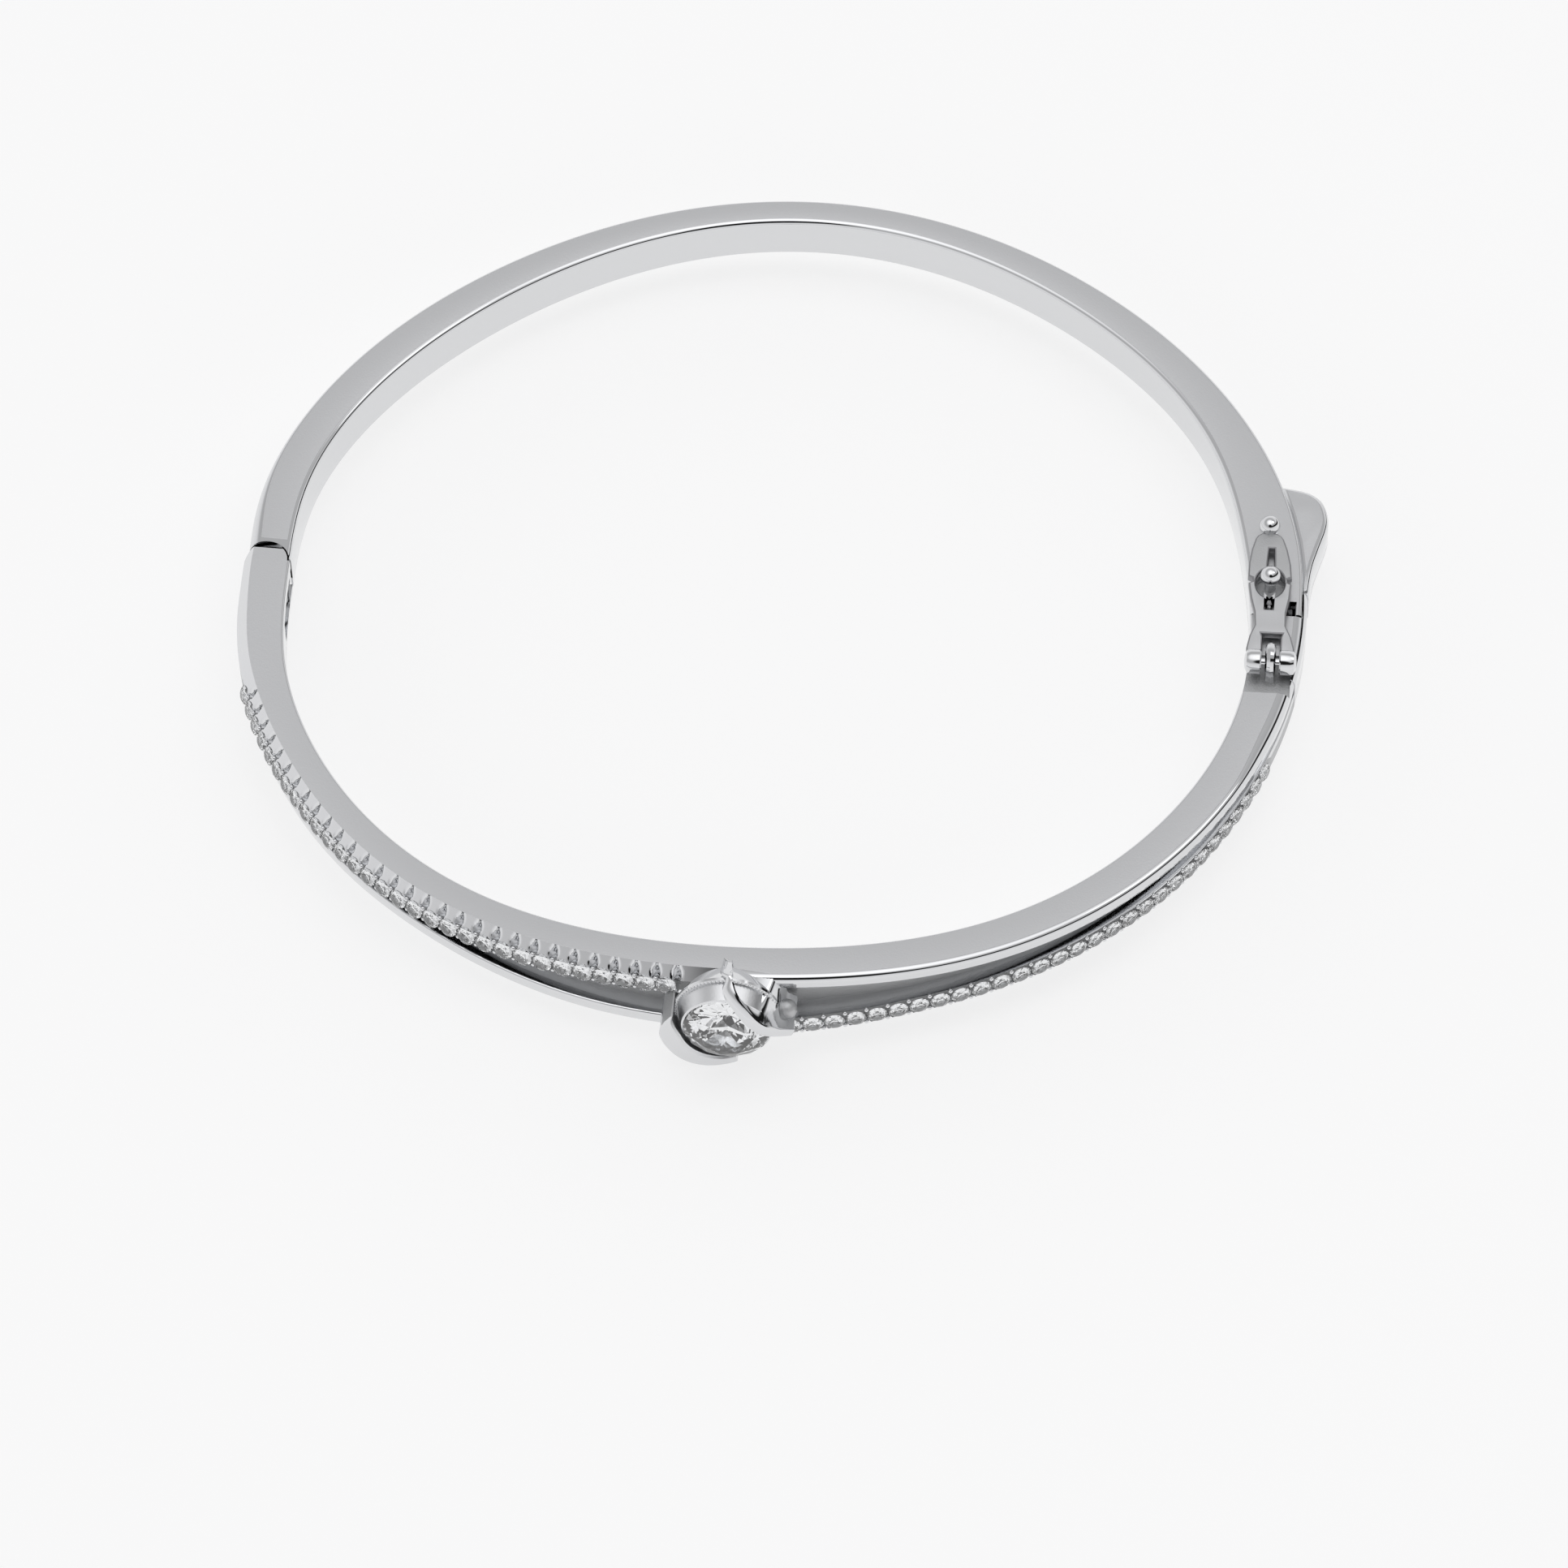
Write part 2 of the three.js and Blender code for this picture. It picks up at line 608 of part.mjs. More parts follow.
addPiece(frontHalf, 'tongue_base', makeTongueBase(), METAL);
addPiece(frontHalf, 'catch_lug', makeCatchLug(), POLISHED);
addPiece(frontHalf, 'catch_pin', makeCatchPin(), METAL);

const tongueLeaf = new THREE.Group();
addPiece(tongueLeaf, 'tongue_leaf', makeTongueLeaf(), METAL);

const safetyCatch = new THREE.Group();
addPiece(safetyCatch, 'catch_plate', makeCatchPlate(), METAL);
addPiece(safetyCatch, 'catch_tip', makeCatchTip(), POLISHED);

// The origin is the middle of the footprint, at the level the bangle rests on.
const bangle = new THREE.Group();
bangle.add(backHalf, frontHalf, tongueLeaf, safetyCatch);
bangle.updateMatrixWorld(true);
const bounds = new THREE.Box3().setFromObject(bangle, true);
const middle = bounds.getCenter(new THREE.Vector3());
bangle.position.set(-middle.x, -middle.y, -bounds.min.z);

export default bangle;
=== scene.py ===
import math

import bmesh
import bpy
from mathutils import Matrix, Vector


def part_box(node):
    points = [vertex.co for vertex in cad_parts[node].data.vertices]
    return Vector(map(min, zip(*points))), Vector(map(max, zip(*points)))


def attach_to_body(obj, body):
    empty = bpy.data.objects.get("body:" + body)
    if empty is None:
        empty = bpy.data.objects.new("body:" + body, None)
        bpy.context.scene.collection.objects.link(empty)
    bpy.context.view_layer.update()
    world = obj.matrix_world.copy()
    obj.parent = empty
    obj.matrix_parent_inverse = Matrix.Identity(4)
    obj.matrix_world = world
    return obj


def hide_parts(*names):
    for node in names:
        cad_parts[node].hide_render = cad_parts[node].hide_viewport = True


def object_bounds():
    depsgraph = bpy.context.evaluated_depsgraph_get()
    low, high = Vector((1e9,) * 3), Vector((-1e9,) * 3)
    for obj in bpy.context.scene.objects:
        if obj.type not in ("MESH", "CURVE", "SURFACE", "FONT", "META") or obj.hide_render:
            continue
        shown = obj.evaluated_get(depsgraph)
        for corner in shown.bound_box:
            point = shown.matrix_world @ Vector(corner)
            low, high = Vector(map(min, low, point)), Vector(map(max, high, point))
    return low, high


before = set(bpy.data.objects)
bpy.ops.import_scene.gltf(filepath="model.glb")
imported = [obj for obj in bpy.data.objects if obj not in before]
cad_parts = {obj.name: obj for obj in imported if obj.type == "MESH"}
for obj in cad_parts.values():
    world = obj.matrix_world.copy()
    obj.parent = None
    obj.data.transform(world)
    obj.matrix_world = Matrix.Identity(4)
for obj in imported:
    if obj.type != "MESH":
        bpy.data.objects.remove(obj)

cad_low, cad_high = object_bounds()

# Lengths below are millimetres about the centre of the bangle: +Z is the wrist axis, -Y faces
# the centre stone, -X is the hinge and +X the clasp. RHO is the distance outwards from the
# inner surface of the band. The hinge pin fixes where that centre is in the shared frame.
HINGE = Vector((-29.9, 0.1, 0.0))

# Plan of the inner surface.
INNER_HALF_WIDTH = 29.0
INNER_DEPTH = 28.07
BACK_EXTRA_DEPTH = 0.8
CORNER_SWELL = -0.007
FRONT_CORNER_SWELL = 0.0235
CLASP_STEP = (1.14, 8.0, 20.0)
HINGE_STEP = (0.6, 181.0, 13.0)

# Band sections.
HALF_HEIGHT = 1.42
CENTRE_HALF_HEIGHT = 2.2
CENTRE_SWELL_POWER = 9
CREST_RHO = 1.65
FLANK_DROP = 0.62

# Stone rows.
STONE_PITCH = 1.22
STONE_RADIUS = 0.59
UPPER_ROW_START = 197.0
LOWER_ROW_END = 339.5
SETTING_EDGE = 6.5
RAIL_GAP = 1.2
BEAD_RADIUS = 0.15

# Centre setting.
SETTING_X = 0.05
SETTING_Y = -27.5
CENTRE_STONE_RADIUS = 2.45
GIRDLE_RHO = 4.0
CUP_BEAD_COUNT = 84
CUP_BEAD_RADIUS = 0.075
CRESCENT_STEPS = 72

# Hinge.
SOCKET_RADIUS = 1.42
NOSE_RADIUS = 1.32
FORK_RADIUS = 1.45
FORK_HALF_HEIGHT = 0.75
POLISHED_END_Y = 1.75
POLISHED_END_SLOPE = 0.25

# Clasp.
SEAM_Y = -0.5
SEAM_HALF_GAP = 0.06
CATCH_X = 29.4
CATCH_AXIS = (-4.58, 2.0)
STUD = Vector((29.15, 1.6, 2.4))
STUD_RADIUS = 0.6
TIP = Vector((28.95, 5.65, 2.15))
TIP_RADIUS = 0.62
RECESS_X = (26, 30.6)
RECESS_Y = (-6.4, -3.6)
BAND_RECESS_FLOOR = 1.0
RAIL_RECESS_FLOOR = 0.98
KNUCKLE_START = 0.52
PLATE_Z = (1.62, 2.12)
FIN_HALF_HEIGHT = 1.2
FIN_SINK = 0.12
FIN_BEVEL = 0.35

# Stage: angles in degrees, lengths in metres.
FLOOR_HALF_SIZE = 3.0
FLOOR_DROP = 0.0002
VIEW_AZIMUTH = 6.42
VIEW_ELEVATION = 49.94
VIEW_ROLL = 2.23
VIEW_DISTANCE = 0.4477
AIM_RIGHT = 0.00074
AIM_DOWN = 0.0108
LENS = 175.03
SKY_STOPS = [(0.0, 0.95), (0.4, 0.85), (0.62, 0.5), (0.8, 0.55), (0.93, 1.2), (1.0, 1.5)]
VIEWER_CARD = (0.07, -0.66, 0.75)
CLASP_BAND_AXIS = (-0.17, 0.42, 0.89)

# Material slots: satin, polished, blasted, and slot 3, a dark metal that paints shade and dark
# reflections on the catch plate's edges.
SATIN, POLISHED, BLASTED, PAINTED_SHADE = 0, 1, 2, 3


def hinge_centre():
    low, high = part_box("hinge_pin")
    return (low + high) / 2 * 1000


ORIGIN = hinge_centre() - HINGE


def to_frame(point):
    return (Vector(point) + ORIGIN) / 1000


# ---- Materials ----

def new_material(name):
    material = bpy.data.materials.new(name)
    material.use_nodes = True
    return material, material.node_tree, material.node_tree.nodes["Principled BSDF"]


def metal(name, colour, roughness, grain_size, grain_depth):
    material, tree, shader = new_material(name)
    shader.inputs["Base Color"].default_value = (*colour, 1)
    shader.inputs["Metallic"].default_value = 1
    shader.inputs["Roughness"].default_value = roughness
    if grain_depth:
        place = tree.nodes.new("ShaderNodeTexCoord")
        noise = tree.nodes.new("ShaderNodeTexNoise")
        bump = tree.nodes.new("ShaderNodeBump")
        noise.inputs["Scale"].default_value = 1000 / grain_size
        noise.inputs["Detail"].default_value = 3
        bump.inputs["Strength"].default_value = 1
        bump.inputs["Distance"].default_value = grain_depth / 1000
        tree.links.new(place.outputs["Object"], noise.inputs["Vector"])
        tree.links.new(noise.outputs["Fac"], bump.inputs["Height"])
        tree.links.new(bump.outputs["Normal"], shader.inputs["Normal"])
    return material


def crystal():
    material, _, shader = new_material("clear_stone")
    shader.inputs["Base Color"].default_value = (0.98, 0.99, 1, 1)
    shader.inputs["Roughness"].default_value = 0
    shader.inputs["IOR"].default_value = 2.17
    shader.inputs["Transmission Weight"].default_value = 1
    return material


SILVER = (0.72, 0.725, 0.735)
satin = metal("satin_silver", SILVER, 0.34, 0.12, 0.007)
polished = metal("polished_silver", SILVER, 0.07, 0.3, 0)
blasted = metal("blasted_silver", (0.55, 0.555, 0.56), 0.5, 0.09, 0.02)
clear = crystal()
# Painted shade and painted dark reflection: a dark metal for the catch plate's edges, standing in for
# the shadow gap round the plate.
painted_shade_metal = metal("painted_shade_silver", (0.3, 0.3, 0.31), 0.35, 0.12, 0.004)
METALS = [satin, polished, blasted, painted_shade_metal]


# ---- Plan of the band ----

def bump_at(angle, step):
    depth, middle, spread = step
    away = (angle - middle + 180) % 360 - 180
    return depth * math.exp(-((away / spread) ** 2))


def oval_point(angle):
    t = math.radians(angle)
    corner = CORNER_SWELL - FRONT_CORNER_SWELL * math.sin(t)
    swell = 1 + corner * math.sin(2 * t) ** 2
    depth = INNER_DEPTH + BACK_EXTRA_DEPTH * math.sin(t)
    return Vector((INNER_HALF_WIDTH * math.cos(t) * swell, depth * math.sin(t) * swell, 0))


def oval_normal(angle):
    along = oval_point(angle + 0.05) - oval_point(angle - 0.05)
    return Vector((along.y, -along.x, 0)).normalized()


def on_band(angle, rho, z):
    return oval_point(angle) + oval_normal(angle) * rho + Vector((0, 0, z))


def inner_rho(angle):
    return -bump_at(angle, CLASP_STEP) - bump_at(angle, HINGE_STEP)


def front_half_height(angle):
    front = max(0.0, -math.sin(math.radians(angle)))
    return HALF_HEIGHT + (CENTRE_HALF_HEIGHT - HALF_HEIGHT) * front ** CENTRE_SWELL_POWER


def ramp(value, start, end):
    part = min(1.0, max(0.0, (value - start) / (end - start)))
    return part * part * (3 - 2 * part)


def spread(start, end, count):
    return [start + (end - start) * i / count for i in range(count + 1)]


# ---- Meshes ----

def mesh_object(name, points, faces, materials, slots=None, sharp=32):
    mesh = bpy.data.meshes.new(name)
    mesh.from_pydata([to_frame(p) for p in points], [], faces)
    if slots:
        mesh.polygons.foreach_set("material_index", slots)
    for material in materials:
        mesh.materials.append(material)
    obj = bpy.data.objects.new(name, mesh)
    bpy.context.scene.collection.objects.link(obj)
    edit = bmesh.new()
    edit.from_mesh(mesh)
    bmesh.ops.recalc_face_normals(edit, faces=edit.faces)
    edit.to_mesh(mesh)
    edit.free()
    shade(obj, sharp)
    return obj


def shade(obj, sharp=32):
    mesh = obj.data
    mesh.polygons.foreach_set("use_smooth", [True] * len(mesh.polygons))
    mesh.set_sharp_from_angle(angle=math.radians(sharp))


def loft(rings):
    """Points and faces that skin a row of closed rings, with both ends closed."""
    count = len(rings[0])
    points = [p for ring in rings for p in ring]
    faces = [tuple(range(count)), tuple(range(len(points) - count, len(points)))]
    for start in range(0, len(points) - count, count):
        for j in range(count):
            a, b = start + j, start + (j + 1) % count
            faces.append((a, b, b + count, a + count))
    return points, faces


def rounded(corners, segments=5):
    """Turns (rho, z, radius, slot) corners into (rho, z, slot) points. A corner's slot is that of
    the side that leaves it; the arcs themselves are polished."""
    made = []
    for i, (rho, z, radius, slot) in enumerate(corners):
        here = Vector((rho, z))
        if not radius:
            made.append((rho, z, slot))
            continue
        before = (Vector(corners[i - 1][:2]) - here).normalized()
        after = (Vector(corners[(i + 1) % len(corners)][:2]) - here).normalized()
        half = before.angle(after) / 2
        reach = radius / math.tan(half)
        middle = here + (before + after).normalized() * radius / math.sin(half)
        start = here + before * reach - middle
        end = here + after * reach - middle
        for k in range(segments + 1):
            spoke = start.lerp(end, k / segments).normalized() * radius + middle
            made.append((spoke.x, spoke.y, POLISHED if k < segments else slot))
    return made


def sweep(name, section, angles, materials=METALS, sharp=32):
    """Carries section(angle), a list of (rho, z, slot), along the band."""
    rings = [[on_band(a, rho, z) for rho, z, _ in section(a)] for a in angles]
    slots = [slot for _, _, slot in section(angles[0])]
    points, faces = loft(rings)
    face_slots = [SATIN, SATIN] + slots * (len(angles) - 1)
    return mesh_object(name, points, faces, materials, face_slots, sharp)


def lathe(name, profile, centre, axis, materials, sides=48, slots=None, sharp=32):
    """Turns (radius, height) points about an axis. A radius of zero closes that end."""
    axis = Vector(axis).normalized()
    side = axis.orthogonal().normalized()
    other = axis.cross(side)
    points, faces, face_slots = [], [], []
    rings = []
    for radius, height in profile:
        base = Vector(centre) + axis * height
        if radius == 0:
            rings.append([len(points)])
            points.append(base)
            continue
        rings.append(list(range(len(points), len(points) + sides)))
        for k in range(sides):
            turn = 2 * math.pi * k / sides
            points.append(base + (side * math.cos(turn) + other * math.sin(turn)) * radius)
    closed = profile[0][0] > 0
    pairs = list(zip(rings, rings[1:] + rings[:1])) if closed else list(zip(rings, rings[1:]))
    for i, (low, high) in enumerate(pairs):
        for k in range(sides):
            a, b = low[k % len(low)], low[(k + 1) % len(low)]
            c, d = high[(k + 1) % len(high)], high[k % len(high)]
            faces.append(tuple(dict.fromkeys((a, b, c, d))))
            face_slots.append(slots[i] if slots else 0)
    return mesh_object(name, points, faces, materials, face_slots, sharp)


def outline_plate(name, outer, holes, z0, z1, bevel, materials, sharp=32):
    """A flat plate with rounded edges from outlines in plan."""
    curve = bpy.data.curves.new(name, "CURVE")
    curve.dimensions = "2D"
    curve.fill_mode = "BOTH"
    curve.extrude = (z1 - z0) / 2 - bevel
    curve.bevel_depth = bevel
    curve.bevel_resolution = 2
    curve.offset = -bevel
    for outline in [outer] + holes:
        spline = curve.splines.new("POLY")
        spline.points.add(len(outline) - 1)
        spline.use_cyclic_u = True
        for spot, (x, y) in zip(spline.points, outline):
            spot.co = (x, y, 0, 1)
    holder = bpy.data.objects.new(name + "_curve", curve)
    bpy.context.scene.collection.objects.link(holder)
    bpy.context.view_layer.update()
    flat = holder.evaluated_get(bpy.context.evaluated_depsgraph_get()).to_mesh()
    edit = bmesh.new()
    edit.from_mesh(flat)
    bmesh.ops.remove_doubles(edit, verts=edit.verts, dist=1e-5)
    points = [v.co + Vector((0, 0, (z0 + z1) / 2)) for v in edit.verts]
    faces = [tuple(v.index for v in f.verts) for f in edit.faces]
    edit.free()
    bpy.data.objects.remove(holder)
    return mesh_object(name, points, faces, materials, None, sharp)


def ball_profile(radius, start, step):
    """(radius, height) points up a ball, from an angle in degrees off its lower pole."""
    turns = [math.radians(angle) for angle in range(start, 180, step)]
    return [(radius * math.sin(turn), -radius * math.cos(turn)) for turn in turns]


def box_cutter(x0, x1, y0, y1, z0, z1, slot=POLISHED):
    corners = [(x, y, z) for x in (x0, x1) for y in (y0, y1) for z in (z0, z1)]
    faces = [(0, 1, 3, 2), (4, 6, 7, 5), (0, 4, 5, 1), (2, 3, 7, 6), (0, 2, 6, 4), (1, 5, 7, 3)]
    return mesh_object("cutter", corners, faces, METALS, [slot] * 6)


def post_cutter(x, y, radius, z0, z1, slot=POLISHED):
    profile = [(0, z0), (radius, z0), (radius, z1), (0, z1)]
    return lathe("cutter", profile, (x, y, 0), (0, 0, 1), METALS, 64, [slot] * 3)


def carve(obj, cutter, operation="DIFFERENCE"):
    modifier = obj.modifiers.new("carve", "BOOLEAN")
    modifier.operation = operation
    modifier.solver = "EXACT"
    modifier.object = cutter
    bpy.context.view_layer.update()
    graph = bpy.context.evaluated_depsgraph_get()
    carved = bpy.data.meshes.new_from_object(obj.evaluated_get(graph))
    obj.modifiers.clear()
    obj.data = carved
    bpy.data.objects.remove(cutter)
    shade(obj)
    return obj


def join(name, objects):
    """Makes one object of several that share the same materials."""
    edit = bmesh.new()
    for obj in objects:
        edit.from_mesh(obj.data)
    mesh = bpy.data.meshes.new(name)
    edit.to_mesh(mesh)
    edit.free()
    for material in objects[0].data.materials:
        mesh.materials.append(material)
    for obj in objects:
        bpy.data.objects.remove(obj)
    joined = bpy.data.objects.new(name, mesh)
    bpy.context.scene.collection.objects.link(joined)
    shade(joined)
    return joined


def attach(obj, body, slot, *nodes):
    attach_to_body(obj, body)
    if nodes:
        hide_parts(*nodes)


# ---- Back half ----

def back_outer_rho(angle):
    """Thickest between the middle and the ends, and thinner again right at both seams."""
    ends = math.cos(math.radians(angle)) ** 2
    corner = math.sin(math.radians(2 * angle)) ** 2
    extra = 0.55 * ends + 0.3 * corner if angle > 90 else 0.35 * ends + 0.25 * corner
    return 1.85 + extra - bump_at(angle, (0.12, 0, 6)) - bump_at(angle, (0.45, 181, 8))


def back_section(angle):
    h = HALF_HEIGHT
    inner = inner_rho(angle)
    outer = back_outer_rho(angle)
    soft = 0.2 + bump_at(angle, (0.5, 177, 9))
    return rounded([
        (inner, -h, 0.3, SATIN),
        (outer, -h, soft, POLISHED),
        (outer, h, soft, SATIN),
        (inner, h, 0.34, POLISHED),
    ])


def polish_near_hinge(obj):
    """The side faces stop short of the hinge and give way to polished metal."""
    for face in obj.data.polygons:
        spot = face.center * 1000 - ORIGIN
        if spot.x < 0 and spot.y < POLISHED_END_Y + POLISHED_END_SLOPE * (spot.x - HINGE.x):
            face.material_index = POLISHED


def carve_hinge_end(band):
    """Ends the back half in a round socket about the pin, with a slot for the middle knuckle."""
    above = HALF_HEIGHT + 1
    carve(band, box_cutter(-34, -26, -6, HINGE.y + 0.25, -above, above))
    carve(band, post_cutter(HINGE.x, HINGE.y, SOCKET_RADIUS, -above, above))
    carve(band, box_cutter(HINGE.x - 0.85, HINGE.x + 0.85, 0, 3.3, -0.7, 0.7))


def carve_clasp_end(band):
    """Ends the back half at the seam, with the box for the tongue, a notch in the upper outer
    edge and a round pocket at the stud."""
    above = HALF_HEIGHT + 1
    carve(band, box_cutter(26, 34, -5, SEAM_Y + SEAM_HALF_GAP, -above, above))
    carve(band, box_cutter(28.75, 30.7, -1, 5.3, -0.8, 0.8))
    carve(band, box_cutter(30.2, 30.75, -1, 0.55, 0, above))
    carve(band, post_cutter(STUD.x, STUD.y - 0.4, 1.0, 1.25, above, BLASTED))


def build_back_half():
    band = sweep("back_band", back_section, spread(-3, 182, 370))
    carve_hinge_end(band)
    carve_clasp_end(band)
    polish_near_hinge(band)
    attach(band, "back", "satin_silver", "back_half")


def build_knuckle():
    profile = [(0.48, -0.58), (1.12, -0.58), (1.18, -0.5), (1.18, 0.5), (1.12, 0.58), (0.48, 0.58)]
    barrel = lathe("hinge_barrel", profile, HINGE, (0, 0, 1), METALS, 48, [POLISHED] * 6)
    attach(barrel, "back", "polished_silver", "hinge_knuckle")


def smooth_path(points, per_span=6):
    """Catmull-Rom points through a list of (x, y)."""
    ends = [points[0]] + list(points) + [points[-1]]
    made = []
    for a, b, c, d in zip(ends, ends[1:], ends[2:], ends[3:]):
        for k in range(per_span):
            u = k / per_span
            made.append(tuple(
                0.5 * (2 * q + (r - p) * u + (2 * p - 5 * q + 4 * r - s) * u * u
                       + (3 * q - p - 3 * r + s) * u ** 3)
                for p, q, r, s in zip(a, b, c, d)))
    made.append(tuple(points[-1]))
    return made


def build_thumb_tab():
    skin = [on_band(a, back_outer_rho(a) - FIN_SINK, 0) for a in (2.6, 6, 10, 14, 18.5)]
    flare = smooth_path([(30.6, 9.5), (31.25, 9.28), (31.84, 8.81), (32.2, 8.14), (32.37, 7.2),
                         (32.26, 6.25), (31.94, 4.97), (31.6, 3.39), (31.42, 1.3)])
    outline = [(p.x, p.y) for p in skin] + flare
    tab = outline_plate("thumb_fin", outline, [], -FIN_HALF_HEIGHT, FIN_HALF_HEIGHT, FIN_BEVEL, METALS)
    for face in tab.data.polygons:
        face.material_index = SATIN if abs(face.normal.z) > 0.98 else POLISHED
    attach(tab, "back", "satin_silver", "thumb_tab")


def build_stud():
    foot = 1.2 - STUD.z
    profile = [(0, foot), (0.36, foot), (0.3, foot + 0.12)]
    profile += ball_profile(STUD_RADIUS, 35, 8) + [(0, STUD_RADIUS)]
    slots = [POLISHED] * (len(profile) - 1)
    stud = lathe("stud_ball", profile, STUD, (0, 0, 1), METALS, 40, slots)
    attach(stud, "back", "polished_silver", "catch_stud")


# ---- Front half ----

def front_section(angle):
    h = front_half_height(angle)
    inner = inner_rho(angle)
    crest = crest_rho(angle)
    return rounded([
        (inner, -h, 0.3, SATIN),
        (crest, -h, 0, POLISHED),
        (CREST_RHO, -h + 0.15, 0, BLASTED),
        (CREST_RHO, h - 0.15, 0, POLISHED),
        (crest, h, 0, SATIN),
        (inner, h, 0.15, POLISHED),
    ])


def crest_rho(angle):
    """Where the satin side face ends: wider beyond the hinge and all along the clasp side."""
    hinge_side = 0.22 * (1 - ramp(angle, 190, 215)) - 0.2 * (1 - ramp(angle, 183, 196))
    clasp_side = 0.26 * ramp(angle, 271, 275) - 0.3 * ramp(angle, 332, 342)
    return CREST_RHO + hinge_side + clasp_side


def half_width(angle, width):
    """A rail's height, which grows to the middle of the band towards both ends."""
    full = front_half_height(angle) + 0.03
    ends = max(1 - ramp(angle, 186, 196), ramp(angle, 338, 346))
    return width + (full - width) * ends


def row_angles(rho, start, end):
    """Angles a stone pitch apart along the girdle line."""
    angles = []
    step = 1 if end > start else -1
    angle = start
    while step * (end - angle) > 0:
        angles.append(angle)
        length = (on_band(angle + 0.5, rho, 0) - on_band(angle - 0.5, rho, 0)).length
        angle += step * STONE_PITCH / length
    return angles


UPPER_STONES = sorted(row_angles(2.45, 270 - SETTING_EDGE, UPPER_ROW_START))
UPPER_SEATS = UPPER_STONES + [2 * UPPER_STONES[-1] - UPPER_STONES[-2]]
LOWER_STONES = sorted(row_angles(2.6, 270 + SETTING_EDGE, LOWER_ROW_END))


def phase(angle, stones):
    """How far an angle is between two stones: 0 at a stone's centre, 1 midway to the next."""
    if angle <= stones[0] or angle >= stones[-1]:
        return 0.0
    for a, b in zip(stones, stones[1:]):
        if angle <= b:
            return 1 - abs(2 * (angle - a) / (b - a) - 1)
    return 0.0


def fine_angles(start, end, stones, per_stone=14):
    """Stations along a set rail: fine between stones, coarser beyond them."""
    made = spread(start, stones[0] - 1, 24)
    for a, b in zip(stones, stones[1:]):
        made += spread(a, b, per_stone)[:-1]
    return made + spread(stones[-1], end, 24)


def set_rail_points(angle, stones, row, side):
    """Section of a rail with stones: a sloping flank with a notch between each two stones, a
    channel and a small lower flank. A row is its width, stone centre, lip, crest and drop."""
    width, centre, lip, crest, drop = row
    open_part = ramp(angle, stones[0] - 1.6, stones[0] - 0.4)
    open_part *= 1 - ramp(angle, stones[-1] + 0.4, stones[-1] + 1.6)
    between = phase(angle, stones)
    channel = 0.5 * open_part
    made = [(CREST_RHO - 0.3, 0.4, POLISHED)]
    for k in range(7):
        v = k / 6
        reach = 0.06 + 0.42 * math.sin(0.75 * math.pi * v ** 0.8)
        cut = 0.45 * open_part * max(0.0, (between - 1 + reach) / reach) * min(1.0, 0.15 + 1.4 * v)
        made.append((crest + (lip - crest) * v - cut * 0.75, drop * v + cut * 0.65, POLISHED))
    half = STONE_RADIUS + 0.04
    inside = max(drop + 0.03, centre - half)
    made += [
        (lip - channel * 0.35, inside, POLISHED),
        (lip - channel, centre - half * 0.4, BLASTED),
        (lip - channel, centre + half * 0.4, BLASTED),
        (lip - channel * 0.35, centre + half, POLISHED),
        (lip - 0.02, centre + half + 0.05, POLISHED),
        (lip - 0.2, width, POLISHED),
        (CREST_RHO - 0.3, width + 0.1, POLISHED),
    ]
    face = front_half_height(angle)
    points = [(rho, side * (face - depth), slot) for rho, depth, slot in made]
    return points if side > 0 else points[::-1]


def upper_rail_section(angle):
    row = (half_width(angle, 1.75), 1.05, upper_lip_rho(angle), crest_rho(angle), FLANK_DROP)
    return set_rail_points(angle, UPPER_SEATS, row, 1)


def upper_lip_rho(angle):
    """The upper row is drawn in a little at the hinge."""
    return crest_rho(angle) + 0.62 - 0.1 * (1 - ramp(angle, 181, 188))


def lower_lip_rho(angle):
    """The lower row stands out more towards the centre setting and less at the clasp."""
    return 2.5 + 0.45 * (1 - ramp(angle, 270, 292)) - 0.15 * ramp(angle, 315, 335)


def lower_rail_section(angle):
    row = (half_width(angle, 1.45), 0.74, lower_lip_rho(angle), crest_rho(angle) + 0.1, 0.1)
    return set_rail_points(angle, LOWER_STONES, row, -1)


def left_polished_section(angle):
    face = front_half_height(angle)
    width = half_width(angle, 1.05)
    proud = 0.45 * ramp(angle, 230, 258) - 0.3 * (1 - ramp(angle, 181, 188))
    z = -face
    return rounded([
        (CREST_RHO - 0.3, z + width, 0, POLISHED),
        (CREST_RHO - 0.3, z + 0.3, 0, POLISHED),
        (CREST_RHO, z, 0, POLISHED),
        (2.32 + proud, z + 0.15, 0.2, POLISHED),
        (2.42 + proud, z + width, 0.18, POLISHED),
    ])


def right_polished_section(angle):
    face = front_half_height(angle)
    width = half_width(angle, 0.85)
    soft = 0.4 + 0.25 * ramp(angle, 332, 342)
    return rounded([
        (CREST_RHO - 0.3, face - 0.4, 0, POLISHED),
        (CREST_RHO - 0.3, face - width, 0, POLISHED),
        (2.3, face - width, 0.12, POLISHED),
        (2.38, face, soft, POLISHED),
        (crest_rho(angle), face, 0, POLISHED),
    ], 8)


def front_keep():
    """The volume that the front half fills at the hinge: a round nose and what is below it."""
    above = CENTRE_HALF_HEIGHT + 1
    nose = post_cutter(HINGE.x, HINGE.y, NOSE_RADIUS, -above, above)
    return carve(nose, box_cutter(-45, 45, -45, HINGE.y, -above, above), "UNION")


def open_fork(obj):
    """Makes room about the pin for the back half's middle knuckle."""
    carve(obj, post_cutter(HINGE.x, HINGE.y, FORK_RADIUS, -FORK_HALF_HEIGHT, FORK_HALF_HEIGHT))


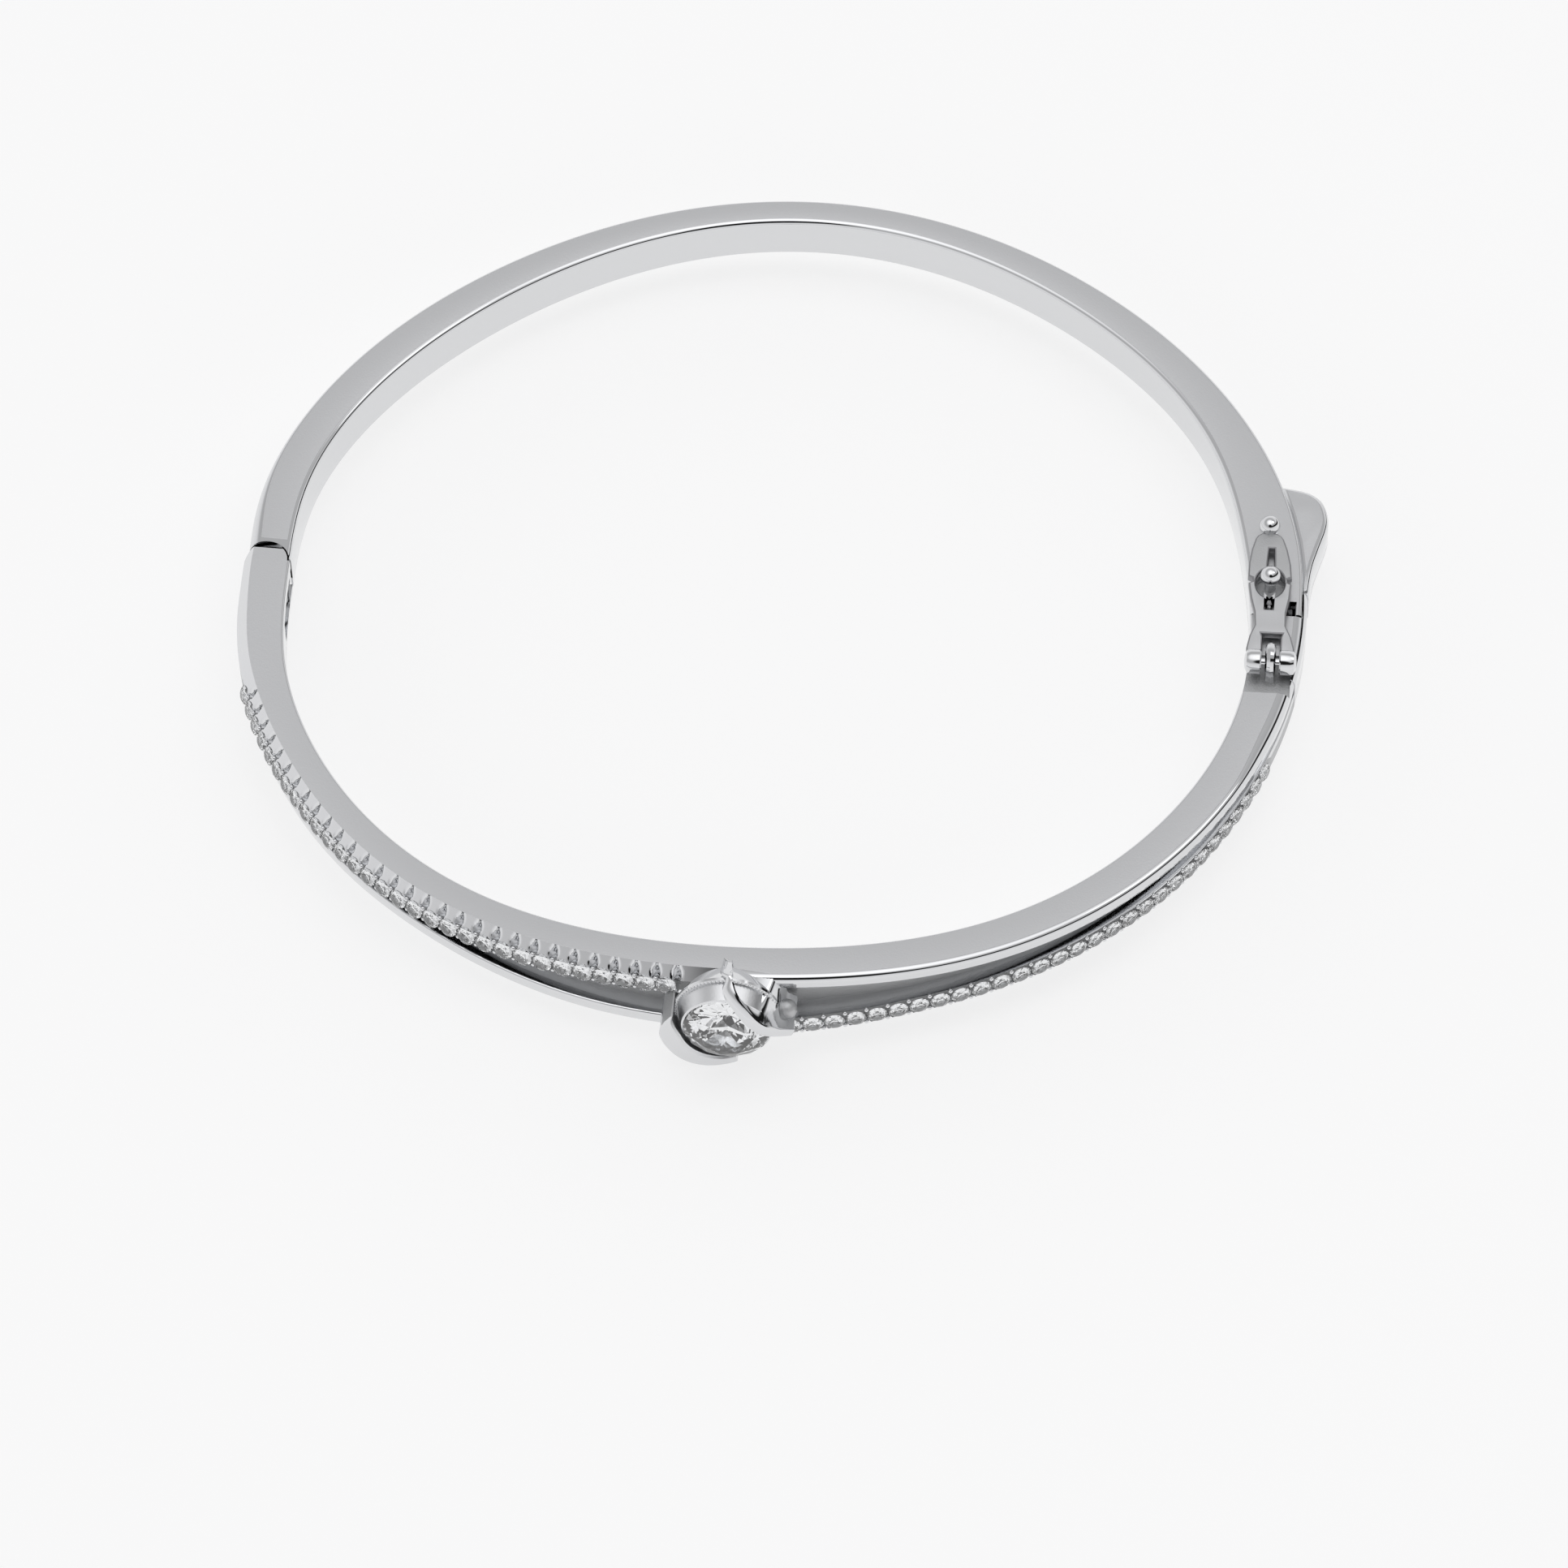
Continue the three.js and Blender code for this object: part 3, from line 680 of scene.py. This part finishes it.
def trim_clasp_end(obj, recess_floor):
    """Ends a front piece at the seam and sinks the recess that the safety catch turns in."""
    above = CENTRE_HALF_HEIGHT + 1
    carve(obj, box_cutter(26, 34, SEAM_Y - SEAM_HALF_GAP, 6, -above, above))
    carve(obj, box_cutter(*RECESS_X, *RECESS_Y, recess_floor, above, BLASTED))


def build_front_half():
    band = sweep("front_band", front_section, spread(178, 362, 368))
    carve(band, front_keep(), "INTERSECT")
    trim_clasp_end(band, BAND_RECESS_FLOOR)
    open_fork(band)
    carve(band, box_cutter(HINGE.x + 0.4, HINGE.x + 3, -4.3, HINGE.y, -0.74, 0.74))
    carve(band, box_cutter(28.85, 29.5, -2.45, 2, -0.75, 0.75))
    attach(band, "front", "satin_silver", "front_half")


def build_rails():
    left, right = 270 - RAIL_GAP, 270 + RAIL_GAP
    upper = sweep("upper_set_rail", upper_rail_section, fine_angles(178, left, UPPER_SEATS))
    lower = sweep("lower_set_rail", lower_rail_section, fine_angles(right, 362, LOWER_STONES))
    plain_left = sweep("lower_plain_rail", left_polished_section, spread(178, left, 180))
    plain_right = sweep("upper_plain_rail", right_polished_section, spread(right, 362, 180))
    for rail in (upper, plain_left):
        carve(rail, front_keep(), "INTERSECT")
        open_fork(rail)
    for rail in (lower, plain_right):
        trim_clasp_end(rail, RAIL_RECESS_FLOOR)
    attach(upper, "front", "polished_silver", "pave_rail_upper")
    attach(lower, "front", "polished_silver", "pave_rail_lower")
    attach(plain_left, "front", "polished_silver", "polished_rail_lower")
    attach(plain_right, "front", "polished_silver", "polished_rail_upper")


def build_lip():
    """A tongue of the outer wall that laps over the seam; it carries the same rounded edge."""
    arc = []
    for k in range(7):
        turn = math.radians(54 * k / 6)
        arc.append((1.73 + 0.66 * math.cos(turn), 0.77 + 0.66 * math.sin(turn), POLISHED))
    section = [(2.12, -1.3, POLISHED), (2.3, -1.25, POLISHED), (2.38, -1.1, POLISHED)] + arc
    lip = sweep("clasp_lip", lambda angle: section, spread(350, 362.55, 24))
    attach(lip, "front", "polished_silver")


# ---- Stones ----

def brilliant(radius, depth, crown, table):
    """Points and faces of a round brilliant about +Z, girdle at z = 0."""
    points = [Vector((0, 0, -depth))]

    def ring(r, z, count, turn):
        first = len(points)
        for k in range(count):
            a = 2 * math.pi * (k + turn) / count
            points.append(Vector((r * math.cos(a), r * math.sin(a), z)))
        return list(range(first, first + count))

    edge = 0.03 * radius
    low = ring(radius, -edge, 16, 0)
    high = ring(radius, edge, 16, 0)
    star = ring(0.5 * (radius + table) * 1.03, 0.58 * crown, 8, 0)
    top = ring(table, crown, 8, 0.5)
    main = ring(0.42 * radius, -0.62 * depth, 8, 0.5)
    faces = [tuple(top)]
    for k in range(16):
        m = (k + 1) % 16
        faces.append((low[k], low[m], high[m], high[k]))
    for k in range(8):
        n = (k + 1) % 8
        here, after, mid = high[2 * k], high[(2 * k + 2) % 16], high[2 * k + 1]
        faces.append((here, mid, star[k]))
        faces.append((mid, after, star[n]))
        faces.append((star[k], mid, star[n], top[k]))
        faces.append((top[k - 1], star[k], top[k]))
        below, beyond, under = low[2 * k], low[(2 * k + 2) % 16], low[2 * k + 1]
        faces.append((below, main[k], under))
        faces.append((under, main[k], beyond))
        faces.append((below, main[k - 1], 0, main[k]))
    return points, faces


def seat(points, centre, outwards, turn=0.0):
    """Stands a stone's +Z along outwards, at centre."""
    outwards = Vector(outwards).normalized()
    place = Matrix.Translation(centre) @ outwards.to_track_quat("Z", "Y").to_matrix().to_4x4()
    place = place @ Matrix.Rotation(turn, 4, "Z")
    return [place @ p for p in points]


def build_stone_row(name, node, angles, lip_rho, proud, centre, side, tilt):
    points, faces = [], []
    cut = brilliant(STONE_RADIUS, 0.42, 0.17, 0.33)
    for i, angle in enumerate(angles):
        z = side * (front_half_height(angle) - centre)
        outwards = oval_normal(angle) * math.cos(tilt) + Vector((0, 0, side * math.sin(tilt)))
        first = len(points)
        points += seat(cut[0], on_band(angle, lip_rho(angle) + proud, z), outwards, 0.7 * i)
        faces += [tuple(v + first for v in face) for face in cut[1]]
    row = mesh_object(name, points, faces, [clear], None, 1)
    attach(row, "front", "clear_stone", node)


def dome(centre, radius, outwards, points, faces):
    """Adds a closed little bead to a list of points and faces."""
    base = bmesh.new()
    bmesh.ops.create_icosphere(base, subdivisions=2, radius=radius)
    first = len(points)
    points += seat([v.co.copy() for v in base.verts], centre, outwards)
    faces += [tuple(v.index + first for v in f.verts) for f in base.faces]
    base.free()


def build_beads(name, angles, lip_rho, depths, side):
    points, faces = [], []
    for a, b in zip(angles, angles[1:]):
        angle = (a + b) / 2
        for depth in depths:
            z = side * (front_half_height(angle) - depth)
            dome(on_band(angle, lip_rho(angle), z), BEAD_RADIUS, oval_normal(angle), points, faces)
    beads = mesh_object(name, points, faces, [polished], None, 60)
    attach(beads, "front", "polished_silver")


# ---- Centre setting ----

def on_setting(x, rho, z):
    return Vector((SETTING_X + x, SETTING_Y - rho, z))


def build_centre_stone():
    points, faces = brilliant(CENTRE_STONE_RADIUS, 1.75, 0.8, 1.35)
    stone = mesh_object("round_brilliant", seat(points, on_setting(0, GIRDLE_RHO, 0), (0, -1, 0), 0.2),
                        faces, [clear], None, 1)
    attach(stone, "front", "clear_stone", "center_stone")


def build_collet():
    profile = [(2.2, 1.3), (3.0, 2.55), (3.08, 2.7), (3.06, 2.86), (2.96, 2.93), (2.82, 2.9),
               (2.56, 3.9), (2.45, 3.96), (2.32, 3.86), (0.5, 2.2), (0.5, 1.3)]
    slots = [POLISHED] * 5 + [SATIN] + [POLISHED] * 5
    collet = lathe("stone_cup", profile, on_setting(0, 0, 0), (0, -1, 0), METALS, 96, slots)
    points, faces = [], []
    for k in range(CUP_BEAD_COUNT):
        turn = 2 * math.pi * k / CUP_BEAD_COUNT
        spot = on_setting(2.98 * math.cos(turn), 2.92, 2.98 * math.sin(turn))
        dome(spot, CUP_BEAD_RADIUS, (0, -1, 0), points, faces)
    grain = mesh_object("cup_beading", points, faces, [polished], None, 60)
    attach(collet, "front", "polished_silver", "collet")
    attach(grain, "front", "polished_silver")


def build_lower_crescent():
    """A wall round the lower left of the cup that starts and ends in a thin edge."""
    rings = []
    for i in range(CRESCENT_STEPS + 1):
        along = i / CRESCENT_STEPS
        turn = math.radians(166 + 114 * along)
        wall = 0.05 + 0.78 * ramp(along, -0.05, 0.26) * math.sqrt(max(0.0, 1 - ramp(along, 0.45, 1)))
        rim = 3.9 + 0.3 * math.sin(math.pi * along)
        lean = 0.4 * ramp(along, 0.0, 0.3)
        inner, outer, soft = 3.1 - lean, 3.1 + wall, min(0.12, wall / 3)
        ring = [(3.1, 1.7), (inner, rim - soft), (inner + soft, rim), (outer - soft, rim),
                (outer, rim - soft), (outer, 1.7)]
        rings.append([on_setting(r * math.cos(turn), rho, r * math.sin(turn)) for r, rho in ring])
    points, faces = loft(rings)
    slots = [BLASTED, POLISHED] + [POLISHED] * (len(faces) - 2)
    for i in range(CRESCENT_STEPS):
        slots[2 + 6 * i] = slots[3 + 6 * i] = SATIN
        slots[6 + 6 * i] = BLASTED if i < 10 else POLISHED
    crescent = mesh_object("lower_crescent_wall", points, faces, METALS, slots)
    attach(crescent, "front", "polished_silver", "crescent_lower")


# Middle of the upper crescent's front: x, z, rho.
UPPER_CRESCENT = [(-0.12, 2.25, 0.9), (-0.06, 2.72, 1.9), (0.01, 3.15, 3.1), (0.4, 2.8, 4.0),
                  (1.3, 1.9, 4.72), (2.08, 1.1, 4.82), (2.9, 0.55, 4.55), (3.77, -0.02, 4.04)]
# Its front, from the upper edge to the lower: distance to the side and back, in half widths.
CRESCENT_FRONT = [(1, 0.5), (0.92, 0.15), (0.6, 0), (0, -0.06), (-0.6, 0), (-0.92, 0.15), (-1, 0.5)]
CRESCENT_ROOT_RHO = 1.6
CRESCENT_ROOT_RADIUS = 3.2


def build_upper_crescent():
    """A ribbon that runs out over the band, round the cup and down to the lower rail."""
    path = smooth_path(UPPER_CRESCENT)
    middle = [on_setting(x, rho, z) for x, z, rho in path]
    rings = []
    for i, (spot, (x, z, rho)) in enumerate(zip(middle, path)):
        along = (middle[min(i + 1, len(middle) - 1)] - middle[max(i - 1, 0)]).normalized()
        step = i / (len(middle) - 1)
        half = 0.37 * (0.7 + 0.3 * ramp(step, 0, 0.25)) * (1 - 0.3 * ramp(step, 0.75, 1))
        side = Vector((0, -1, 0.25)).cross(along).normalized()
        front = along.cross(side)
        spread_out = max(1.0, CRESCENT_ROOT_RADIUS / math.hypot(x, z))
        root = on_setting(x * spread_out, min(rho - 0.3, CRESCENT_ROOT_RHO), min(z * spread_out, 2.0))
        ring = [spot + side * half * u - front * half * v for u, v in CRESCENT_FRONT]
        ring += [spot.lerp(root, 0.5) - side * half * 0.9, root - side * half, root + side * half * 0.6,
                 spot.lerp(root, 0.62) + side * half * 0.5, spot.lerp(root, 0.3) + side * half * 0.1]
        rings.append(ring)
    points, faces = loft(rings)
    wall = mesh_object("upper_crescent_wall", points, faces, METALS, [POLISHED] * len(faces), 40)
    attach(wall, "front", "polished_silver", "crescent_upper")


def build_crescent_foot():
    points, faces = [], []
    dome(on_setting(3.3, 2.6, 0.3), 0.62, (0, -1, 0), points, faces)
    dome(on_setting(2.5, 2.3, 0.9), 0.5, (0, -1, 0), points, faces)
    foot = mesh_object("crescent_foot", points, faces, [blasted], None, 60)
    attach(foot, "front", "satin_silver")


# ---- Safety catch ----

def catch_lean(y):
    return (TIP.x - CATCH_X) * (y - CATCH_AXIS[0]) / (TIP.y - CATCH_AXIS[0])


def catch_hole():
    """The keyhole round the stud: an oval with a long neck above and a short slot below."""
    neck = [(0.2, 2.6), (0.17, 3.4), (0.15, 3.99), (-0.15, 3.99), (-0.17, 3.4), (-0.2, 2.6)]
    slot = [(-0.22, 0.25), (-0.2, -0.66), (0.2, -0.66), (0.22, 0.25)]
    left, right = [], []
    for k in range(15):
        turn = math.radians(76 - 152 * k / 14)
        x, y = 0.84 * math.cos(turn), STUD.y - 0.25 + 1.16 * math.sin(turn)
        right.append((x, y))
        left.append((-x, y))
    outline = neck + left + slot + right[::-1]
    return [(STUD.x + x, y) for x, y in outline]


def knuckle_profile(start, side):
    """A plump knuckle: flat towards the lug, rounded at its outer end."""
    shape = [(0, 0), (0.66, 0), (0.74, 0.08), (0.74, 0.62), (0.66, 0.84), (0.4, 0.97), (0, 1)]
    return [(radius, side * (start + along)) for radius, along in shape]


def build_catch_plate():
    half = [(1.42, -4.5), (1.4, -3.6), (1.22, -2.7), (0.92, -1.9), (0.94, -0.9), (1.15, 0.2),
            (1.26, 1.3), (1.02, 1.42), (1.02, 1.68), (1.28, 1.8), (1.24, 2.8), (1.06, 3.9),
            (0.84, 4.7), (0.7, 4.95), (0.42, 5.15)]
    right = [(CATCH_X + catch_lean(y) + x, y) for x, y in half]
    left = [(CATCH_X + catch_lean(y) - x, y) for x, y in half][::-1]
    fork = [(-0.52, -4.5), (-0.52, -2.75), (-0.6, -2.5), (0.6, -2.5), (0.52, -2.75), (0.52, -4.5)]
    outline = right + left + [(CATCH_X + x, y) for x, y in fork]
    plate = outline_plate("catch_loop", outline, [catch_hole()], *PLATE_Z, 0.1, METALS)
    # Flat faces below the stud are satin and those beyond it blasted; every edge face gets the dark
    # metal, as painted shade and painted dark reflection round the plate.
    for face in plate.data.polygons:
        flat = SATIN if (face.center * 1000 - ORIGIN).y < STUD.y else BLASTED
        face.material_index = flat if abs(face.normal.z) > 0.98 else PAINTED_SHADE
    y, z = CATCH_AXIS
    knuckles = []
    for side in (-1, 1):
        profile = knuckle_profile(KNUCKLE_START, side)
        slots = [POLISHED] * (len(profile) - 1)
        knuckles.append(lathe("knuckle", profile, (CATCH_X, y, z), (1, 0, 0), METALS, 40, slots))
    catch = join("catch_loop_plate", [plate] + knuckles)
    attach(catch, "catch", "satin_silver", "catch_plate")


def build_catch_tip():
    profile = [(0, -TIP_RADIUS)] + ball_profile(TIP_RADIUS, 6, 6) + [(0, TIP_RADIUS)]
    slots = [POLISHED] * (len(profile) - 1)
    tip = lathe("tip_ball", profile, TIP, (0, 1, 0), METALS, 36, slots)
    attach(tip, "catch", "polished_silver", "catch_tip")


def build_catch_lug():
    """A standing loop with round edges on a flat foot, clear of the two knuckles."""
    y, z = CATCH_AXIS
    profile = [(0, -0.2), (0.5, -0.32), (0.8, -0.3), (0.98, -0.2), (1.06, 0), (0.98, 0.2), (0.8, 0.3),
               (0.5, 0.32), (0, 0.2)]
    loop = lathe("lug", profile, (CATCH_X, y + 0.18, z - 0.05), (1, 0, 0), METALS, 48, [POLISHED] * 8)
    foot = box_cutter(CATCH_X - 0.24, CATCH_X + 0.24, y - 0.7, y + 0.9, 0.95, z)
    lug = join("catch_lug_loop", [loop, foot])
    attach(lug, "front", "polished_silver", "catch_lug")


# ---- Stage ----

def build_floor():
    middle = (cad_low + cad_high) / 2
    size = FLOOR_HALF_SIZE
    mesh = bpy.data.meshes.new("floor")
    corners = [(-size, -size), (size, -size), (size, size), (-size, size)]
    points = [(middle.x + x, middle.y + y, cad_low.z - FLOOR_DROP) for x, y in corners]
    mesh.from_pydata(points, [], [(0, 1, 2, 3)])
    material, _, shader = new_material("floor")
    shader.inputs["Base Color"].default_value = (0.36, 0.36, 0.36, 1)
    shader.inputs["Roughness"].default_value = 0.9
    shader.inputs["Specular IOR Level"].default_value = 0.1
    shader.inputs["Emission Color"].default_value = (1, 1, 1, 1)
    shader.inputs["Emission Strength"].default_value = 0.67
    mesh.materials.append(material)
    floor = bpy.data.objects.new("floor", mesh)
    bpy.context.scene.collection.objects.link(floor)


def camera_axes():
    """Right, up and back directions of the view, level with the horizon."""
    a, e = math.radians(VIEW_AZIMUTH), math.radians(VIEW_ELEVATION)
    back = Vector((math.sin(a) * math.cos(e), -math.cos(a) * math.cos(e), math.sin(e)))
    right = Vector((math.cos(a), math.sin(a), 0))
    return right, back.cross(right), back


def build_camera():
    level_right, level_up, back = camera_axes()
    roll = math.radians(VIEW_ROLL)
    right = level_right * math.cos(roll) - level_up * math.sin(roll)
    up = level_right * math.sin(roll) + level_up * math.cos(roll)
    centre = to_frame((0, 0, 0))
    aim = centre + right * AIM_RIGHT - up * AIM_DOWN
    camera = bpy.data.cameras.new("camera")
    camera.lens = LENS
    camera.sensor_width = 36
    camera.clip_start = 0.05
    camera.clip_end = 10
    holder = bpy.data.objects.new("camera", camera)
    place = centre + back * VIEW_DISTANCE
    back_axis = (place - aim).normalized()
    right_axis = (right - back_axis * right.dot(back_axis)).normalized()
    up_axis = back_axis.cross(right_axis)
    turn = Matrix((right_axis, up_axis, back_axis)).transposed()
    holder.matrix_world = Matrix.Translation(place) @ turn.to_4x4()
    bpy.context.scene.collection.objects.link(holder)
    bpy.context.scene.camera = holder


def dark_card(tree, vector, direction, start, full):
    """A factor that rises from 0 to 1 as a direction nears the card."""
    near = tree.nodes.new("ShaderNodeVectorMath")
    edge = tree.nodes.new("ShaderNodeMapRange")
    near.operation = "DOT_PRODUCT"
    near.inputs[1].default_value = Vector(direction).normalized()
    edge.interpolation_type = "SMOOTHSTEP"
    edge.inputs["From Min"].default_value = start
    edge.inputs["From Max"].default_value = full
    tree.links.new(vector, near.inputs[0])
    tree.links.new(near.outputs["Value"], edge.inputs["Value"])
    return edge.outputs["Result"]


def dark_band(tree, vector, axis, offset, start, full):
    """A factor that rises from 0 to 1 near the ring of directions at one angle from an axis. Only
    the part of the ring on the clasp side counts."""
    along = tree.nodes.new("ShaderNodeVectorMath")
    away = tree.nodes.new("ShaderNodeMath")
    size = tree.nodes.new("ShaderNodeMath")
    edge = tree.nodes.new("ShaderNodeMapRange")
    split = tree.nodes.new("ShaderNodeSeparateXYZ")
    side = tree.nodes.new("ShaderNodeMapRange")
    both = tree.nodes.new("ShaderNodeMath")
    along.operation = "DOT_PRODUCT"
    along.inputs[1].default_value = Vector(axis).normalized()
    away.operation = "SUBTRACT"
    away.inputs[1].default_value = offset
    size.operation = "ABSOLUTE"
    edge.inputs["From Min"].default_value = start
    edge.inputs["From Max"].default_value = full
    side.inputs["From Min"].default_value = 0.1
    side.inputs["From Max"].default_value = 0.3
    both.operation = "MULTIPLY"
    tree.links.new(vector, along.inputs[0])
    tree.links.new(vector, split.inputs["Vector"])
    tree.links.new(along.outputs["Value"], away.inputs[0])
    tree.links.new(away.outputs["Value"], size.inputs[0])
    tree.links.new(size.outputs["Value"], edge.inputs["Value"])
    tree.links.new(split.outputs["X"], side.inputs["Value"])
    tree.links.new(edge.outputs["Result"], both.inputs[0])
    tree.links.new(side.outputs["Result"], both.inputs[1])
    return both.outputs["Value"]


def darken(tree, colour, factor):
    mix = tree.nodes.new("ShaderNodeMix")
    mix.data_type = "RGBA"
    mix.inputs["B"].default_value = (0.01, 0.01, 0.01, 1)
    tree.links.new(factor, mix.inputs["Factor"])
    tree.links.new(colour, mix.inputs["A"])
    return mix.outputs["Result"]


def build_world():
    """A soft grey surround, white overhead, with a dark card where the viewer stands and a dark
    band that sweeps round the clasp side."""
    world = bpy.data.worlds.new("studio")
    bpy.context.scene.world = world
    world.use_nodes = True
    tree = world.node_tree
    place = tree.nodes.new("ShaderNodeTexCoord")
    split = tree.nodes.new("ShaderNodeSeparateXYZ")
    sky = tree.nodes.new("ShaderNodeValToRGB")
    ramp_stops = sky.color_ramp.elements
    while len(ramp_stops) < len(SKY_STOPS):
        ramp_stops.new(0.5)
    for stop, (spot, value) in zip(ramp_stops, SKY_STOPS):
        stop.position = spot
        stop.color = (value, value, value * 1.01, 1)
    vector = place.outputs["Generated"]
    tree.links.new(vector, split.inputs["Vector"])
    tree.links.new(split.outputs["Z"], sky.inputs["Fac"])
    colour = sky.outputs["Color"]
    colour = darken(tree, colour, dark_card(tree, vector, VIEWER_CARD, 0.93, 0.977))
    colour = darken(tree, colour, dark_band(tree, vector, CLASP_BAND_AXIS, 0.2, 0.19, 0.09))
    tree.links.new(colour, tree.nodes["Background"].inputs["Color"])
    tree.nodes["Background"].inputs["Strength"].default_value = 1.0


def area_light(name, spot, target, size, power):
    light = bpy.data.lights.new(name, "AREA")
    light.shape = "DISK"
    light.size = size
    light.energy = power
    holder = bpy.data.objects.new(name, light)
    holder.location = Vector(spot)
    holder.rotation_mode = "QUATERNION"
    holder.rotation_quaternion = (Vector(target) - Vector(spot)).to_track_quat("-Z", "Y")
    bpy.context.scene.collection.objects.link(holder)


def dress_cad_nodes():
    """CAD nodes that stay in view keep their shape and get the same metals."""
    finish = {"hinge_pin": satin, "clasp_strike": satin, "tongue_base": satin, "tongue_leaf": satin,
              "catch_pin": polished}
    for node, material in finish.items():
        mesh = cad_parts[node].data
        mesh.materials.clear()
        mesh.materials.append(material)


build_back_half()
build_knuckle()
build_thumb_tab()
build_stud()
build_front_half()
build_rails()
build_lip()
build_stone_row("upper_stones", "pave_stones_upper", UPPER_STONES, upper_lip_rho, 0.1, 1.05, 1,
                math.radians(14))
build_stone_row("lower_stones", "pave_stones_lower", LOWER_STONES, lower_lip_rho, 0.06, 0.74, -1, 0)
build_beads("upper_beads", UPPER_STONES, upper_lip_rho, (0.66, 1.55), 1)
build_beads("lower_beads", LOWER_STONES, lower_lip_rho, (0.25, 1.3), -1)
build_centre_stone()
build_collet()
build_lower_crescent()
build_upper_crescent()
build_crescent_foot()
build_catch_plate()
build_catch_tip()
build_catch_lug()
dress_cad_nodes()
build_floor()
build_camera()
build_world()
area_light("key", (0.35, 0.1, 0.5), (0, 0, 0), 0.25, 0.15)
bpy.context.scene.view_settings.view_transform = "Standard"
